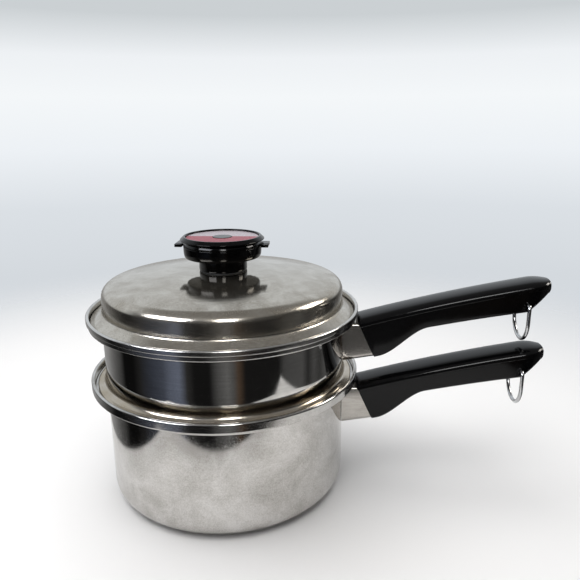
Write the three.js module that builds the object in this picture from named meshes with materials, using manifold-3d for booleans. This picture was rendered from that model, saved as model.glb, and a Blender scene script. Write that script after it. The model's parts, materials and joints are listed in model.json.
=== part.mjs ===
// Stovetop steamer: a saucepan, a steamer pan that nests on its rim, and a domed lid with a steam vent knob.
// Millimetres, +Z up. The origin is the centre of the saucepan's underside, and both handles run along +X.

import * as THREE from "three";
import { mergeVertices } from "three/addons/utils/BufferGeometryUtils.js";
import Module from "manifold-3d";

const wasm = await Module();
wasm.setup();

// Driving dimensions shared by the pans and the lid.
const BODY_RADIUS = 86.5; // outside of both pans' walls
const SHEET = 1.2; // drawn stainless sheet
const LIP_OVERHANG = 10.4; // how far a lip stands out from the wall
const LIP_WIDTH = 2.4; // rounded top of a lip
const LEDGE_DROP = 6.3; // from the top of a lip down to the ledge inside it
const LEDGE_ROUND = 1.5; // inner edge of a ledge
const CHANNEL_ROUND = 0.9; // lower outside edge of the channel that a ledge and its lip make
const SEAT_GAP = 0.3; // clearance under each piece that lifts off
const FIT_GAP = 0.3; // clearance between fixed pieces

// Saucepan.
const POT_HEIGHT = 91; // underside to the top of the lip
const POT_BASE = 2.2;
const POT_CORNER = 13; // outside radius between base and wall
const POT_FLARE = 5.5; // where the wall turns out into the ledge
const POT_BAND = 6.5; // depth of the plain band round the lip

// Steamer pan.
const STEAMER_STAND = 52.5; // from its seat on the saucepan's ledge to the top of its lip
const STEAMER_DROP = 17.2; // from its seat down to its underside
const STEAMER_NEST = 0.8; // play of its lower wall inside the saucepan
const STEAMER_CORNER = 9;
const STEAMER_FLARE = 2.8;
const STEAMER_BAND = 3.9;
const SEAT_BEAD = 6; // bead that carries it on the ledge
const SEAT_BEAD_ROUND = 0.9; // its outer edge
const SEAT_BEAD_FILLET = 4.2; // from the bead up into the wall
const STEAM_HOLE = 2.6; // radius
const STEAM_RINGS = [
  { radius: 17, count: 6 },
  { radius: 36, count: 11 },
  { radius: 55, count: 16 },
];

// Lid.
const LID_SHEET = 1;
const LID_PLAY = 0.6; // between the brim's edge and the lip
const LID_INSET = 1; // the lid's wall stands in from the pans' wall
const BRIM_BEAD = 1; // radius of the rolled edge
const BRIM_HEIGHT = 10.7; // seat to the foot of the lid's wall
const BRIM_FILLET = 6;
const BRIM_SLOPE = 36; // degrees
const LID_SHOULDER_HEIGHT = 17.1; // seat to the start of the shoulder
const LID_SHOULDER = 7.5; // outside radius
const CROWN_SLOPE = 11.6; // degrees, where the crown meets the shoulder
const SEAT_MARGIN = 1.2; // flat round the foot of the knob
const VENT_HOLE = 1.6; // radius of the two steam holes under the knob
const VENT_CIRCLE = 9.5; // radius that all the steam ports lie on

// Vent knob.
const GASKET_THICKNESS = 0.8;
const PEDESTAL_RADIUS = 17.1;
const PEDESTAL_WALL = 3.6;
const PEDESTAL_HEIGHT = 9.4;
const PEDESTAL_WEB = 3;
const BOSS_WALL = 2.4; // phenolic round the threaded insert
const INSERT_RADIUS = 3.8;
const SCREW_RADIUS = 2.2; // knob screws
const SCREW_HEAD_RADIUS = 4.4;
const SCREW_HEAD = 2.4;
const WASHER_RADIUS = 6.5;
const WASHER_THICKNESS = 1;
const BARREL_RADIUS = 27.6; // at its top
const BARREL_TAPER = 0.9; // how much narrower its foot is
const BARREL_FLOOR = 2;
const BARREL_WALL = 2.6;
const BARREL_HEIGHT = 8;
const SEAL_THICKNESS = 0.8;
const PORT_RADIUS = 2.2;
const RING_DISC = 1.8; // the vent ring's valve disc
const RING_FLANGE = 3.5; // its flange between barrel and cap
const VENT_TURN = 40; // degrees from closed to open
const TAB_REACH = 33.1; // from the axis
const TAB_WIDTH = 14;
const TAB_THICKNESS = 2.3;
const TAB_DROP = 1; // its underside below the flange's
const OUTLET_ANGLE = 60; // degrees from a tab to each of the two outlets at the back of the flange
const CAP_RADIUS = 29.7; // at its foot
const CAP_LEAN = 2.1; // how much narrower its top is
const CAP_PLATE = 1.1;
const CAP_RIM_WIDTH = 1.6;
const CAP_RIM_HEIGHT = 1.7;
const MEDALLION_THICKNESS = 0.5;
const COVER_RADIUS = 6.8;
const COVER_RISE = 0.3; // the screw cover above the medallion

// Handles.
const POT_HANDLE_DROP = 13; // lip down to the handle's datum, the edge of its top at the root
const STEAMER_HANDLE_DROP = 10.5;
const BRACKET_REACH = 10; // wall to grip, at the datum's height
const END_LEAN = 24.7; // degrees, slant of the bracket's end and of the grip's root
const BRACKET_WIDTH = 22;
const BRACKET_TOP = 1.2; // below the datum
const BRACKET_DEPTH = 24.8; // along its slanted end
const BRACKET_FOOT_SLOPE = 10; // degrees, its underside falls towards the wall
const BRACKET_SHEET = 1.5;
const GRIP_REACH = 142.8; // wall to tip
const GRIP_WIDTH = 26;
const GRIP_CROWN = 2.5; // the rounded top above its edges
const GRIP_THICKNESS = 15; // extrapolated to the root
const GRIP_SWELL = 2; // degrees, how fast it gets thicker towards the tip
const ROOT_DEPTH = 14.6; // extra depth of the root under the grip
const ROOT_FADE_START = 26; // from the wall, where that depth begins to fade
const ROOT_FADE_END = 60; // from the wall, where it is gone
const RISE_START = 15.85; // degrees, slope of the top at the root
const RISE_END = 9.87; // degrees, slope of the top at the tip
const EDGE_DEPTH = 4.2; // rounded edge strip along the top
const EDGE_STEP = 0.7; // how far it stands out over the side
const SIDE_TAPER = 1.6; // how much narrower each side is at the bottom
const BOTTOM_ROUND = 3;
const NOSE_ANGLE = 44; // degrees, undercut below the tip
const NOSE_EDGE = 1.2; // depth left at the tip under the edge strip
const NOSE_ROUND = 14; // length of the tip's rounding, seen from above
const NOSE_NARROW = 9; // how far each side draws in along it
const NOSE_DROOP = 2.3; // how far the top falls along it
const TANG_WIDTH = 14;
const TANG_THICKNESS = 4;
const TANG_REACH = 40; // wall to the tang's end inside the grip
const GRIP_SCREW_REACH = 30; // wall to the screw
const GRIP_SCREW_RADIUS = 2;
const GRIP_SCREW_HEAD_RADIUS = 3.6;
const GRIP_SCREW_HEAD = 2.2;
const GRIP_SCREW_RECESS = 1; // head below the grip's underside
const GRIP_WASHER_RADIUS = 4.4;
const GRIP_WASHER_THICKNESS = 0.8;

// Hang rings.
const WIRE = 2.6; // diameter
const PIVOT_BACK = 16.2; // behind the tip
const PIVOT_DOWN = 16.3; // below the top at the tip
const PIVOT_DEPTH = 5; // how far each end enters the grip
const RING_DROP = 27.4; // pivot to the middle of the wire at the bottom
const RING_GAP = 0.5; // leg to the side of the grip
const RING_BEND = 2.6; // centreline radius at the top of a leg
const PIVOT_GAP = 0.35; // radial play in the grip

const PAN_SIDES = 40;
const KNOB_SIDES = 28;
const SMALL_SIDES = 12;
const HOLE_SIDES = 6;
const TAU = Math.PI * 2;
const radians = THREE.MathUtils.degToRad;
const lerp = THREE.MathUtils.lerp;

// Profile points: distance from the axis, and height.
const at = (radius, height) => new THREE.Vector2(radius, height);

// Points of an arc in a profile, between two angles in degrees, both ends included.
function arc(radius, height, size, from, to, steps) {
  const points = [];
  for (let i = 0; i <= steps; i++) {
    const angle = radians(lerp(from, to, i / steps));
    points.push(at(radius + size * Math.cos(angle), height + size * Math.sin(angle)));
  }
  return points;
}

// The same open profile moved to its left by a distance, with mitred corners.
function offset(points, distance) {
  const normals = points.slice(1).map((p, i) => {
    const along = p.clone().sub(points[i]).normalize();
    return at(-along.y, along.x);
  });
  return points.map((p, i) => {
    const before = normals[Math.max(i - 1, 0)];
    const after = normals[Math.min(i, normals.length - 1)];
    const mitre = before.clone().add(after).normalize();
    return p.clone().addScaledVector(mitre, distance / mitre.dot(before));
  });
}

// A solid of revolution about Z. The profile runs anticlockwise with the radius to the right.
function turned(profile, sides) {
  return new THREE.LatheGeometry(profile, sides).rotateX(Math.PI / 2);
}

// A turned ring or tube of rectangular section.
function collar(inner, outer, low, high, sides) {
  return turned([at(inner, low), at(outer, low), at(outer, high), at(inner, high), at(inner, low)], sides);
}

// An upright round bar.
function bar(radius, low, high, sides) {
  return turned([at(0, low), at(radius, low), at(radius, high), at(0, high)], sides);
}

function block(width, depth, height) {
  return new THREE.BoxGeometry(width, depth, height);
}

function solid(geometry) {
  const bare = geometry.clone();
  bare.deleteAttribute("normal");
  bare.deleteAttribute("uv");
  const merged = mergeVertices(bare, 1e-4);
  const vertProperties = new Float32Array(merged.getAttribute("position").array);
  const triVerts = new Uint32Array(merged.index.array);
  return new wasm.Manifold(new wasm.Mesh({ numProp: 3, vertProperties, triVerts }));
}

function geometryOf(manifold) {
  const mesh = manifold.getMesh();
  return new THREE.BufferGeometry()
    .setAttribute("position", new THREE.BufferAttribute(mesh.vertProperties, 3))
    .setIndex(new THREE.BufferAttribute(mesh.triVerts, 1));
}

const cut = (body, ...tools) =>
  geometryOf(tools.reduce((left, tool) => left.subtract(solid(tool)), solid(body)));
const join = (body, ...others) =>
  geometryOf(others.reduce((whole, other) => whole.add(solid(other)), solid(body)));

const material = (color, roughness, metalness) =>
  new THREE.MeshStandardMaterial({ color, roughness, metalness });
const polishedSteel = material("#c9c6c0", 0.16, 1);
const satinSteel = material("#bdb9b2", 0.32, 1);
const wireSteel = material("#c4c5c6", 0.2, 1);
const phenolic = material("#0d0d0f", 0.22, 0);
const silicone = material("#2c2d2f", 0.7, 0);
const brass = material("#b8924a", 0.35, 1);
const redFoil = material("#b5263a", 0.35, 0.6);

function piece(parent, name, geometry, finish) {
  const mesh = new THREE.Mesh(geometry, finish);
  mesh.name = name;
  parent.add(mesh);
  return mesh;
}

function groupAt(parent, x, y, z) {
  const group = new THREE.Group();
  group.position.set(x, y, z);
  parent.add(group);
  return group;
}

// Pans.

const INSIDE_RADIUS = BODY_RADIUS - SHEET;
const LIP_RADIUS = BODY_RADIUS + LIP_OVERHANG;
const POT_LEDGE = POT_HEIGHT - LEDGE_DROP;

// A pan's rim, from the outside of its wall, round under the channel, over the lip and across the ledge to the
// inside of the wall.
function rim(lipTop, flare, band) {
  const ledge = lipTop - LEDGE_DROP;
  const under = ledge - SHEET;
  const round = LIP_WIDTH / 2;
  return [
    ...arc(BODY_RADIUS + flare, under - flare, flare, 180, 90, 2),
    ...arc(LIP_RADIUS - SHEET - CHANNEL_ROUND, under + CHANNEL_ROUND, CHANNEL_ROUND, -90, 0, 2),
    at(LIP_RADIUS - SHEET, lipTop - band),
    at(LIP_RADIUS, lipTop - band),
    ...arc(LIP_RADIUS - round, lipTop - round, round, 0, 180, 3),
    at(LIP_RADIUS - LIP_WIDTH, ledge),
    ...arc(INSIDE_RADIUS + LEDGE_ROUND, ledge - LEDGE_ROUND, LEDGE_ROUND, 90, 180, 1),
  ];
}

function saucepanBody() {
  const corner = BODY_RADIUS - POT_CORNER;
  return turned(
    [
      at(0, 0),
      ...arc(corner, POT_CORNER, POT_CORNER, -90, 0, 4),
      ...rim(POT_HEIGHT, POT_FLARE, POT_BAND),
      ...arc(corner, POT_CORNER + POT_BASE - SHEET, POT_CORNER - SHEET, 0, -90, 4),
      at(0, POT_BASE),
    ],
    PAN_SIDES,
  );
}

// The steamer pan's own heights start at its seat on the saucepan's ledge.
function steamerBody() {
  const lower = INSIDE_RADIUS - STEAMER_NEST;
  const corner = lower - STEAMER_CORNER;
  const bead = BODY_RADIUS + SEAT_BEAD;
  const beadTop = 2 * SEAT_BEAD_ROUND;
  const shell = turned(
    [
      at(0, -STEAMER_DROP),
      ...arc(corner, STEAMER_CORNER - STEAMER_DROP, STEAMER_CORNER, -90, 0, 3),
      at(lower, 0),
      ...arc(bead - SEAT_BEAD_ROUND, SEAT_BEAD_ROUND, SEAT_BEAD_ROUND, -90, 90, 3),
      ...arc(BODY_RADIUS + SEAT_BEAD_FILLET, beadTop + SEAT_BEAD_FILLET, SEAT_BEAD_FILLET, 270, 180, 3),
      ...rim(STEAMER_STAND, STEAMER_FLARE, STEAMER_BAND),
      at(INSIDE_RADIUS, SHEET + STEAMER_NEST),
      at(lower - SHEET, SHEET),
      ...arc(corner, STEAMER_CORNER - STEAMER_DROP, STEAMER_CORNER - SHEET, 0, -90, 3),
      at(0, SHEET - STEAMER_DROP),
    ],
    PAN_SIDES,
  );
  const holes = [bar(STEAM_HOLE, -STEAMER_DROP - SHEET, 2 * SHEET - STEAMER_DROP, HOLE_SIDES)];
  for (const { radius, count } of STEAM_RINGS) {
    for (let i = 0; i < count; i++) {
      const angle = (TAU * i) / count;
      holes.push(holes[0].clone().translate(radius * Math.cos(angle), radius * Math.sin(angle), 0));
    }
  }
  return cut(shell, ...holes);
}

// Lid. Its own heights start at its seat on the steamer's ledge.

const LID_RADIUS = BODY_RADIUS - LID_INSET;
const KNOB_SEAT_RADIUS = PEDESTAL_RADIUS + SEAT_MARGIN;
const SHOULDER_START = arc(
  LID_RADIUS - LID_SHOULDER, LID_SHOULDER_HEIGHT, LID_SHOULDER, 90 - CROWN_SLOPE, 0, 3,
);
const CROWN_SPAN = SHOULDER_START[0].x - KNOB_SEAT_RADIUS;
const CROWN_RISE = (CROWN_SPAN * Math.tan(radians(CROWN_SLOPE))) / 2;
const KNOB_SEAT = SHOULDER_START[0].y + CROWN_RISE;
const LID_HOLE = SCREW_RADIUS + FIT_GAP;

function lidShell() {
  const crown = [];
  for (let i = 0; i < 4; i++) {
    const share = i / 4;
    crown.push(at(KNOB_SEAT_RADIUS + share * CROWN_SPAN, KNOB_SEAT - share * share * CROWN_RISE));
  }
  const outside = [
    at(LID_HOLE, KNOB_SEAT),
    ...crown,
    ...SHOULDER_START,
    ...arc(LID_RADIUS + BRIM_FILLET, BRIM_HEIGHT, BRIM_FILLET, 180, 270 - BRIM_SLOPE, 2),
  ];
  const beadCentre = LIP_RADIUS - LIP_WIDTH - LID_PLAY - BRIM_BEAD;
  const shell = turned(
    [
      ...offset(outside, -LID_SHEET),
      ...arc(beadCentre, BRIM_BEAD, BRIM_BEAD, -120, 60, 3),
      ...outside.slice().reverse(),
      offset(outside, -LID_SHEET)[0],
    ],
    PAN_SIDES,
  );
  const vent = bar(VENT_HOLE, KNOB_SEAT - 2 * LID_SHEET, KNOB_SEAT + LID_SHEET, HOLE_SIDES);
  return cut(
    shell,
    vent.clone().translate(VENT_CIRCLE, 0, 0),
    vent.clone().translate(-VENT_CIRCLE, 0, 0),
  );
}

// Vent knob. Its own heights start at the flat seat on top of the lid.

const PEDESTAL_FOOT = GASKET_THICKNESS;
const BARREL_FOOT = PEDESTAL_FOOT + PEDESTAL_HEIGHT;
const FLOOR_TOP = BARREL_FOOT + BARREL_FLOOR;
const SEAL_TOP = FLOOR_TOP + SEAL_THICKNESS;
const BARREL_TOP = BARREL_FOOT + BARREL_HEIGHT;
const FLANGE_FOOT = BARREL_TOP + FIT_GAP;
const FLANGE_TOP = FLANGE_FOOT + RING_FLANGE;
const CAP_FOOT = FLANGE_TOP + FIT_GAP;
const CAP_TOP = CAP_FOOT + CAP_PLATE;
const BOSS_RADIUS = INSERT_RADIUS + FIT_GAP + BOSS_WALL;
const CAP_POST = BOSS_RADIUS;
const INSERT_FOOT = PEDESTAL_FOOT + FIT_GAP;

// Two upright holes on the circle of steam ports, turned by an angle in degrees.
function ports(radius, low, high, turn) {
  return [0, 180].map((start) => {
    const angle = radians(start + turn);
    const port = bar(radius, low, high, HOLE_SIDES);
    return port.translate(VENT_CIRCLE * Math.cos(angle), VENT_CIRCLE * Math.sin(angle), 0);
  });
}

// A hollow foot, joined by a web at its top to a middle boss that holds the threaded insert.
function pedestal() {
  const inner = PEDESTAL_RADIUS - PEDESTAL_WALL;
  const web = BARREL_FOOT - PEDESTAL_WEB;
  const bore = INSERT_RADIUS + FIT_GAP;
  const body = turned(
    [
      at(bore, 0),
      at(BOSS_RADIUS, 0),
      at(BOSS_RADIUS, web),
      at(inner, web),
      at(inner, PEDESTAL_FOOT),
      at(PEDESTAL_RADIUS, PEDESTAL_FOOT),
      at(PEDESTAL_RADIUS, BARREL_FOOT),
      at(bore, BARREL_FOOT),
      at(bore, 0),
    ],
    KNOB_SIDES,
  );
  return cut(body, ...ports(PORT_RADIUS, web - PEDESTAL_WEB, BARREL_FOOT + PEDESTAL_WEB, 0));
}

function barrel() {
  const chamfer = BARREL_WALL / 6;
  const foot = BARREL_RADIUS - BARREL_TAPER;
  const body = turned(
    [
      at(LID_HOLE, BARREL_FOOT),
      at(foot - chamfer, BARREL_FOOT),
      at(foot, BARREL_FOOT + chamfer),
      at(BARREL_RADIUS, BARREL_TOP),
      at(BARREL_RADIUS - BARREL_WALL, BARREL_TOP),
      at(BARREL_RADIUS - BARREL_WALL, FLOOR_TOP),
      at(LID_HOLE, FLOOR_TOP),
      at(LID_HOLE, BARREL_FOOT),
    ],
    KNOB_SIDES,
  );
  return cut(body, ...ports(PORT_RADIUS, BARREL_FOOT - BARREL_FLOOR, FLOOR_TOP + BARREL_FLOOR, 0));
}

function valveSeal() {
  const outer = BARREL_RADIUS - BARREL_WALL - FIT_GAP;
  const body = collar(CAP_POST + FIT_GAP, outer, FLOOR_TOP, SEAL_TOP, KNOB_SIDES);
  return cut(body, ...ports(PORT_RADIUS, FLOOR_TOP - SEAL_THICKNESS, SEAL_TOP + SEAL_THICKNESS, 0));
}

// The valve disc, its wall, the flange over the barrel's edge and the two tabs, with ports shut off at rest.
function ventRing() {
  const bore = CAP_POST + FIT_GAP;
  const outer = BARREL_RADIUS - BARREL_WALL - FIT_GAP;
  const disc = SEAL_TOP + FIT_GAP;
  const wall = outer - BARREL_WALL;
  const body = turned(
    [
      at(bore, disc),
      at(outer, disc),
      at(outer, FLANGE_FOOT),
      at(BARREL_RADIUS, FLANGE_FOOT),
      at(BARREL_RADIUS, FLANGE_TOP),
      at(wall, FLANGE_TOP),
      at(wall, disc + RING_DISC),
      at(bore, disc + RING_DISC),
      at(bore, disc),
    ],
    KNOB_SIDES,
  );
  const root = BARREL_RADIUS - BARREL_WALL;
  const tabTop = FLANGE_FOOT + TAB_THICKNESS - TAB_DROP;
  const tab = block(TAB_REACH - root, TAB_WIDTH, TAB_THICKNESS - TAB_DROP);
  tab.translate((TAB_REACH + root) / 2, 0, (FLANGE_FOOT + tabTop) / 2);
  const clear = BARREL_RADIUS + FIT_GAP;
  const lug = block(TAB_REACH - clear, TAB_WIDTH, TAB_THICKNESS);
  lug.translate((TAB_REACH + clear) / 2, 0, tabTop - TAB_THICKNESS / 2);
  const outlet = block(2 * BARREL_WALL, TAB_WIDTH, RING_FLANGE).translate(root, 0, FLANGE_TOP);
  const turn = (geometry, degrees) => geometry.clone().rotateZ(radians(degrees));
  const tabs = [0, 180].flatMap((a) => [turn(tab, a), turn(lug, a)]);
  const outlets = [OUTLET_ANGLE, 180 - OUTLET_ANGLE].map((a) => turn(outlet, a));
  const valve = ports(PORT_RADIUS, disc - RING_DISC, disc + 2 * RING_DISC, -VENT_TURN);
  return cut(join(body, ...tabs), ...outlets, ...valve);
}

// The top plate with its raised rim, and the post that clamps it to the barrel's floor.
function knobCap() {
  const edge = CAP_PLATE / 3;
  const top = CAP_RADIUS - CAP_LEAN;
  return turned(
    [
      at(LID_HOLE, FLOOR_TOP),
      at(CAP_POST, FLOOR_TOP),
      at(CAP_POST, CAP_FOOT),
      at(CAP_RADIUS - edge, CAP_FOOT),
      at(CAP_RADIUS, CAP_FOOT + edge),
      at(top, CAP_TOP + CAP_RIM_HEIGHT),
      at(top - CAP_RIM_WIDTH, CAP_TOP + CAP_RIM_HEIGHT),
      at(top - CAP_RIM_WIDTH, CAP_TOP),
      at(SCREW_HEAD_RADIUS + FIT_GAP, CAP_TOP),
      at(SCREW_HEAD_RADIUS + FIT_GAP, CAP_TOP - SCREW_HEAD),
      at(LID_HOLE, CAP_TOP - SCREW_HEAD),
      at(LID_HOLE, FLOOR_TOP),
    ],
    KNOB_SIDES,
  );
}

function medallion() {
  const outer = CAP_RADIUS - CAP_LEAN - CAP_RIM_WIDTH - FIT_GAP;
  return collar(COVER_RADIUS + FIT_GAP, outer, CAP_TOP, CAP_TOP + MEDALLION_THICKNESS, KNOB_SIDES);
}

// A low round plug over the cap screw.
function screwCover() {
  const top = CAP_TOP + MEDALLION_THICKNESS + COVER_RISE;
  return turned(
    [
      at(0, CAP_TOP + FIT_GAP),
      at(COVER_RADIUS, CAP_TOP + FIT_GAP),
      at(COVER_RADIUS, top - COVER_RISE / 2),
      at(COVER_RADIUS - COVER_RISE, top),
      at(0, top),
    ],
    SMALL_SIDES,
  );
}

// A headed screw whose shank runs up or down from the seat of its head.
function headedScrew(shank, head, headHeight, seat, tip) {
  const up = Math.sign(tip - seat);
  const profile = [
    at(0, seat - up * headHeight),
    at(head, seat - up * headHeight),
    at(head, seat),
    at(shank, seat),
    at(shank, tip),
    at(0, tip),
  ];
  return turned(up > 0 ? profile : profile.reverse(), SMALL_SIDES);
}

function ventKnob(lid) {
  const knob = groupAt(lid, 0, 0, KNOB_SEAT);
  const insertTop = BARREL_FOOT - FIT_GAP;
  const insertMiddle = (INSERT_FOOT + insertTop) / 2;
  const under = -LID_SHEET - FIT_GAP;
  const gasketInner = PEDESTAL_RADIUS - PEDESTAL_WALL;
  const gasket = collar(gasketInner, PEDESTAL_RADIUS - FIT_GAP, 0, GASKET_THICKNESS, KNOB_SIDES);
  const insert = collar(LID_HOLE, INSERT_RADIUS, INSERT_FOOT, insertTop, SMALL_SIDES);
  const washer = collar(LID_HOLE, WASHER_RADIUS, under - WASHER_THICKNESS, under, SMALL_SIDES);
  const headSeat = under - WASHER_THICKNESS - FIT_GAP;
  const lidScrew = headedScrew(SCREW_RADIUS, SCREW_HEAD_RADIUS, SCREW_HEAD, headSeat, insertMiddle - FIT_GAP);
  const capSeat = CAP_TOP - SCREW_HEAD + FIT_GAP;
  const capHead = SCREW_HEAD - FIT_GAP;
  const capScrew = headedScrew(SCREW_RADIUS, SCREW_HEAD_RADIUS, capHead, capSeat, insertMiddle + FIT_GAP);
  piece(knob, "knob_gasket", gasket, silicone);
  piece(knob, "knob_pedestal", pedestal(), phenolic);
  piece(knob, "knob_insert", insert, brass);
  piece(knob, "knob_washer", washer, satinSteel);
  piece(knob, "knob_lid_screw", lidScrew, satinSteel);
  piece(knob, "knob_barrel", barrel(), phenolic);
  piece(knob, "vent_seal", valveSeal(), silicone);
  piece(knob, "vent_ring", ventRing(), phenolic);
  piece(knob, "knob_cap", knobCap(), phenolic);
  piece(knob, "knob_cap_screw", capScrew, satinSteel);
  piece(knob, "knob_medallion", medallion(), redFoil);
  piece(knob, "knob_screw_cover", screwCover(), phenolic);
}

// Handles. Distances run out from the pan's wall, heights from the edge of the grip's top at its root.

// Share of the way along the rounding of the grip's tip.
const intoNose = (x) => THREE.MathUtils.clamp((x - GRIP_REACH) / NOSE_ROUND + 1, 0, 1);

// Height of the middle of the grip's top.
function gripTop(x) {
  const run = x - BRACKET_REACH;
  const length = GRIP_REACH - BRACKET_REACH;
  const start = Math.tan(radians(RISE_START));
  const end = Math.tan(radians(RISE_END));
  const rise = start * run + ((end - start) * run * run) / (2 * length);
  return GRIP_CROWN + rise - NOSE_DROOP * intoNose(x) ** 2;
}

const TIP_TOP = gripTop(GRIP_REACH);
const TIP_BOTTOM = TIP_TOP - GRIP_CROWN - EDGE_DEPTH - NOSE_EDGE;
const LEAN = Math.tan(radians(END_LEAN));

// Height of the middle of the grip's underside: the root, the grip, or the undercut nose.
function gripBottom(x) {
  const fade = THREE.MathUtils.smoothstep(x, ROOT_FADE_START, ROOT_FADE_END);
  const thickness = GRIP_THICKNESS + x * Math.tan(radians(GRIP_SWELL));
  const under = gripTop(x) - GRIP_CROWN - thickness - ROOT_DEPTH * (1 - fade);
  const nose = TIP_BOTTOM - (GRIP_REACH - x) * Math.tan(radians(NOSE_ANGLE));
  return Math.max(under, nose);
}

// Half the grip's width, drawn in round the tip.
function gripHalf(x) {
  return GRIP_WIDTH / 2 - NOSE_NARROW * (1 - Math.sqrt(1 - intoNose(x) ** 2));
}

// Right half of the grip's section, from the middle of the top to the middle of the bottom: how far across,
// and how far down in millimetres from the top or, past the edge strip, as a share of the way to the bottom.
function gripSection(half, top, bottom) {
  const side = half - EDGE_STEP;
  const foot = half - EDGE_STEP - SIDE_TAPER;
  const strip = top - GRIP_CROWN - EDGE_DEPTH;
  const round = Math.min(BOTTOM_ROUND, (strip - bottom) * 0.7);
  return [
    [0, top],
    [half * 0.5, top - GRIP_CROWN * 0.18],
    [half * 0.82, top - GRIP_CROWN * 0.62],
    [half * 0.96, top - GRIP_CROWN * 1.15],
    [half, top - GRIP_CROWN - EDGE_DEPTH * 0.4],
    [half, strip + EDGE_DEPTH * 0.2],
    [side, strip],
    [foot, bottom + round],
    [foot - round * 0.3, bottom + round * 0.3],
    [foot - round, bottom],
    [0, bottom],
  ];
}

// The grip as a loft of such sections. At the root they lean to meet the bracket's slanted end.
function gripLoft() {
  const start = BRACKET_REACH + FIT_GAP;
  const leaning = (u, z) => lerp(start, GRIP_REACH, u) - z * LEAN * (1 - u) ** 4;
  const settled = (u, height) => {
    let z = 0;
    for (let i = 0; i < 12; i++) z = height(leaning(u, z));
    return z;
  };
  const root = [0, 0.06, 0.12, 0.17, 0.22, 0.27, 0.32, 0.38, 0.5, 0.64, 0.78];
  const noseStart = (GRIP_REACH - NOSE_ROUND - start) / (GRIP_REACH - start);
  const nose = [0, 0.35, 0.62, 0.82, 0.94, 1].map((share) => lerp(noseStart, 1, share));
  const stations = [...root, ...nose];
  const positions = stations.flatMap((u) => {
    const top = settled(u, gripTop);
    const bottom = settled(u, gripBottom);
    const half = gripSection(gripHalf(leaning(u, top)), top, bottom);
    const mirrored = half.slice(1, -1).reverse().map(([y, z]) => [-y, z]);
    return [...half, ...mirrored].flatMap(([y, z]) => [leaning(u, z), y, z]);
  });
  return loft(positions, stations.length);
}

// A closed skin over rings of points that run the same way round, with a fan at each end.
function loft(positions, ringCount) {
  const size = positions.length / 3 / ringCount;
  const index = [];
  for (let ring = 0; ring < ringCount - 1; ring++) {
    for (let i = 0; i < size; i++) {
      const a = ring * size + i;
      const b = ring * size + ((i + 1) % size);
      index.push(a, a + size, b, b, a + size, b + size);
    }
  }
  const last = (ringCount - 1) * size;
  for (let i = 1; i < size - 1; i++) {
    index.push(0, i, i + 1);
    index.push(last, last + i + 1, last + i);
  }
  return new THREE.BufferGeometry()
    .setAttribute("position", new THREE.Float32BufferAttribute(positions, 3))
    .setIndex(index);
}

const PIVOT_X = GRIP_REACH - PIVOT_BACK;
const PIVOT_Z = TIP_TOP - PIVOT_DOWN;
const TANG_TOP = -BRACKET_TOP - BRACKET_SHEET - FIT_GAP;
const SCREW_HEAD_FOOT = gripBottom(GRIP_SCREW_REACH) + GRIP_SCREW_RECESS;
const GRIP_WASHER_FOOT = SCREW_HEAD_FOOT + GRIP_SCREW_HEAD + FIT_GAP;
const GRIP_WASHER_SEAT = GRIP_WASHER_FOOT + GRIP_WASHER_THICKNESS + FIT_GAP;

function grip() {
  const slotHeight = TANG_THICKNESS + 2 * FIT_GAP;
  const slot = block(2 * TANG_REACH, TANG_WIDTH + 2 * FIT_GAP, slotHeight);
  slot.translate(FIT_GAP, 0, TANG_TOP - TANG_THICKNESS / 2);
  const far = SCREW_HEAD_FOOT - ROOT_DEPTH;
  const screwHole = bar(GRIP_SCREW_RADIUS + FIT_GAP, far, TANG_TOP - TANG_THICKNESS / 2, SMALL_SIDES);
  const recess = bar(GRIP_WASHER_RADIUS + FIT_GAP, far, GRIP_WASHER_SEAT, SMALL_SIDES);
  for (const tool of [screwHole, recess]) tool.translate(GRIP_SCREW_REACH, 0, 0);
  const pivot = bar(WIRE / 2 + PIVOT_GAP, -GRIP_WIDTH, GRIP_WIDTH, SMALL_SIDES).rotateX(Math.PI / 2);
  pivot.translate(PIVOT_X, 0, PIVOT_Z);
  return cut(gripLoft(), slot, screwHole, recess, pivot);
}

// A closed folded channel from the pan's wall to the slanted end of the grip.
function bracket() {
  const high = -BRACKET_TOP;
  const low = high - BRACKET_DEPTH;
  const back = -BRACKET_WIDTH;
  const fall = Math.tan(radians(BRACKET_FOOT_SLOPE));
  const channel = (inset, past) => {
    const width = BRACKET_WIDTH - 2 * inset;
    const start = back - past;
    const footEnd = BRACKET_REACH - low * LEAN;
    const foot = (x) => low + inset - (footEnd - x) * fall;
    const topEnd = BRACKET_REACH - (high - inset) * LEAN + past;
    const shape = new THREE.Shape();
    shape.moveTo(start, high - inset);
    shape.lineTo(topEnd, high - inset);
    shape.lineTo(footEnd + past, foot(footEnd + past));
    shape.lineTo(start, foot(start));
    shape.closePath();
    return new THREE.ExtrudeGeometry(shape, { depth: width, bevelEnabled: false, steps: 1 })
      .translate(0, 0, -width / 2)
      .rotateX(Math.PI / 2);
  };
  const wall = bar(BODY_RADIUS + FIT_GAP, -BODY_RADIUS, BODY_RADIUS, PAN_SIDES);
  return cut(channel(0, 0), channel(BRACKET_SHEET, BRACKET_SHEET), wall.translate(-BODY_RADIUS, 0, 0));
}

function tang() {
  const start = 4 * FIT_GAP;
  const body = block(TANG_REACH - start, TANG_WIDTH, TANG_THICKNESS);
  body.translate((TANG_REACH + start) / 2, 0, TANG_TOP - TANG_THICKNESS / 2);
  const below = TANG_TOP - 2 * TANG_THICKNESS;
  const hole = bar(GRIP_SCREW_RADIUS + FIT_GAP, below, TANG_TOP + TANG_THICKNESS, SMALL_SIDES);
  return cut(body, hole.translate(GRIP_SCREW_REACH, 0, 0));
}

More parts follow.
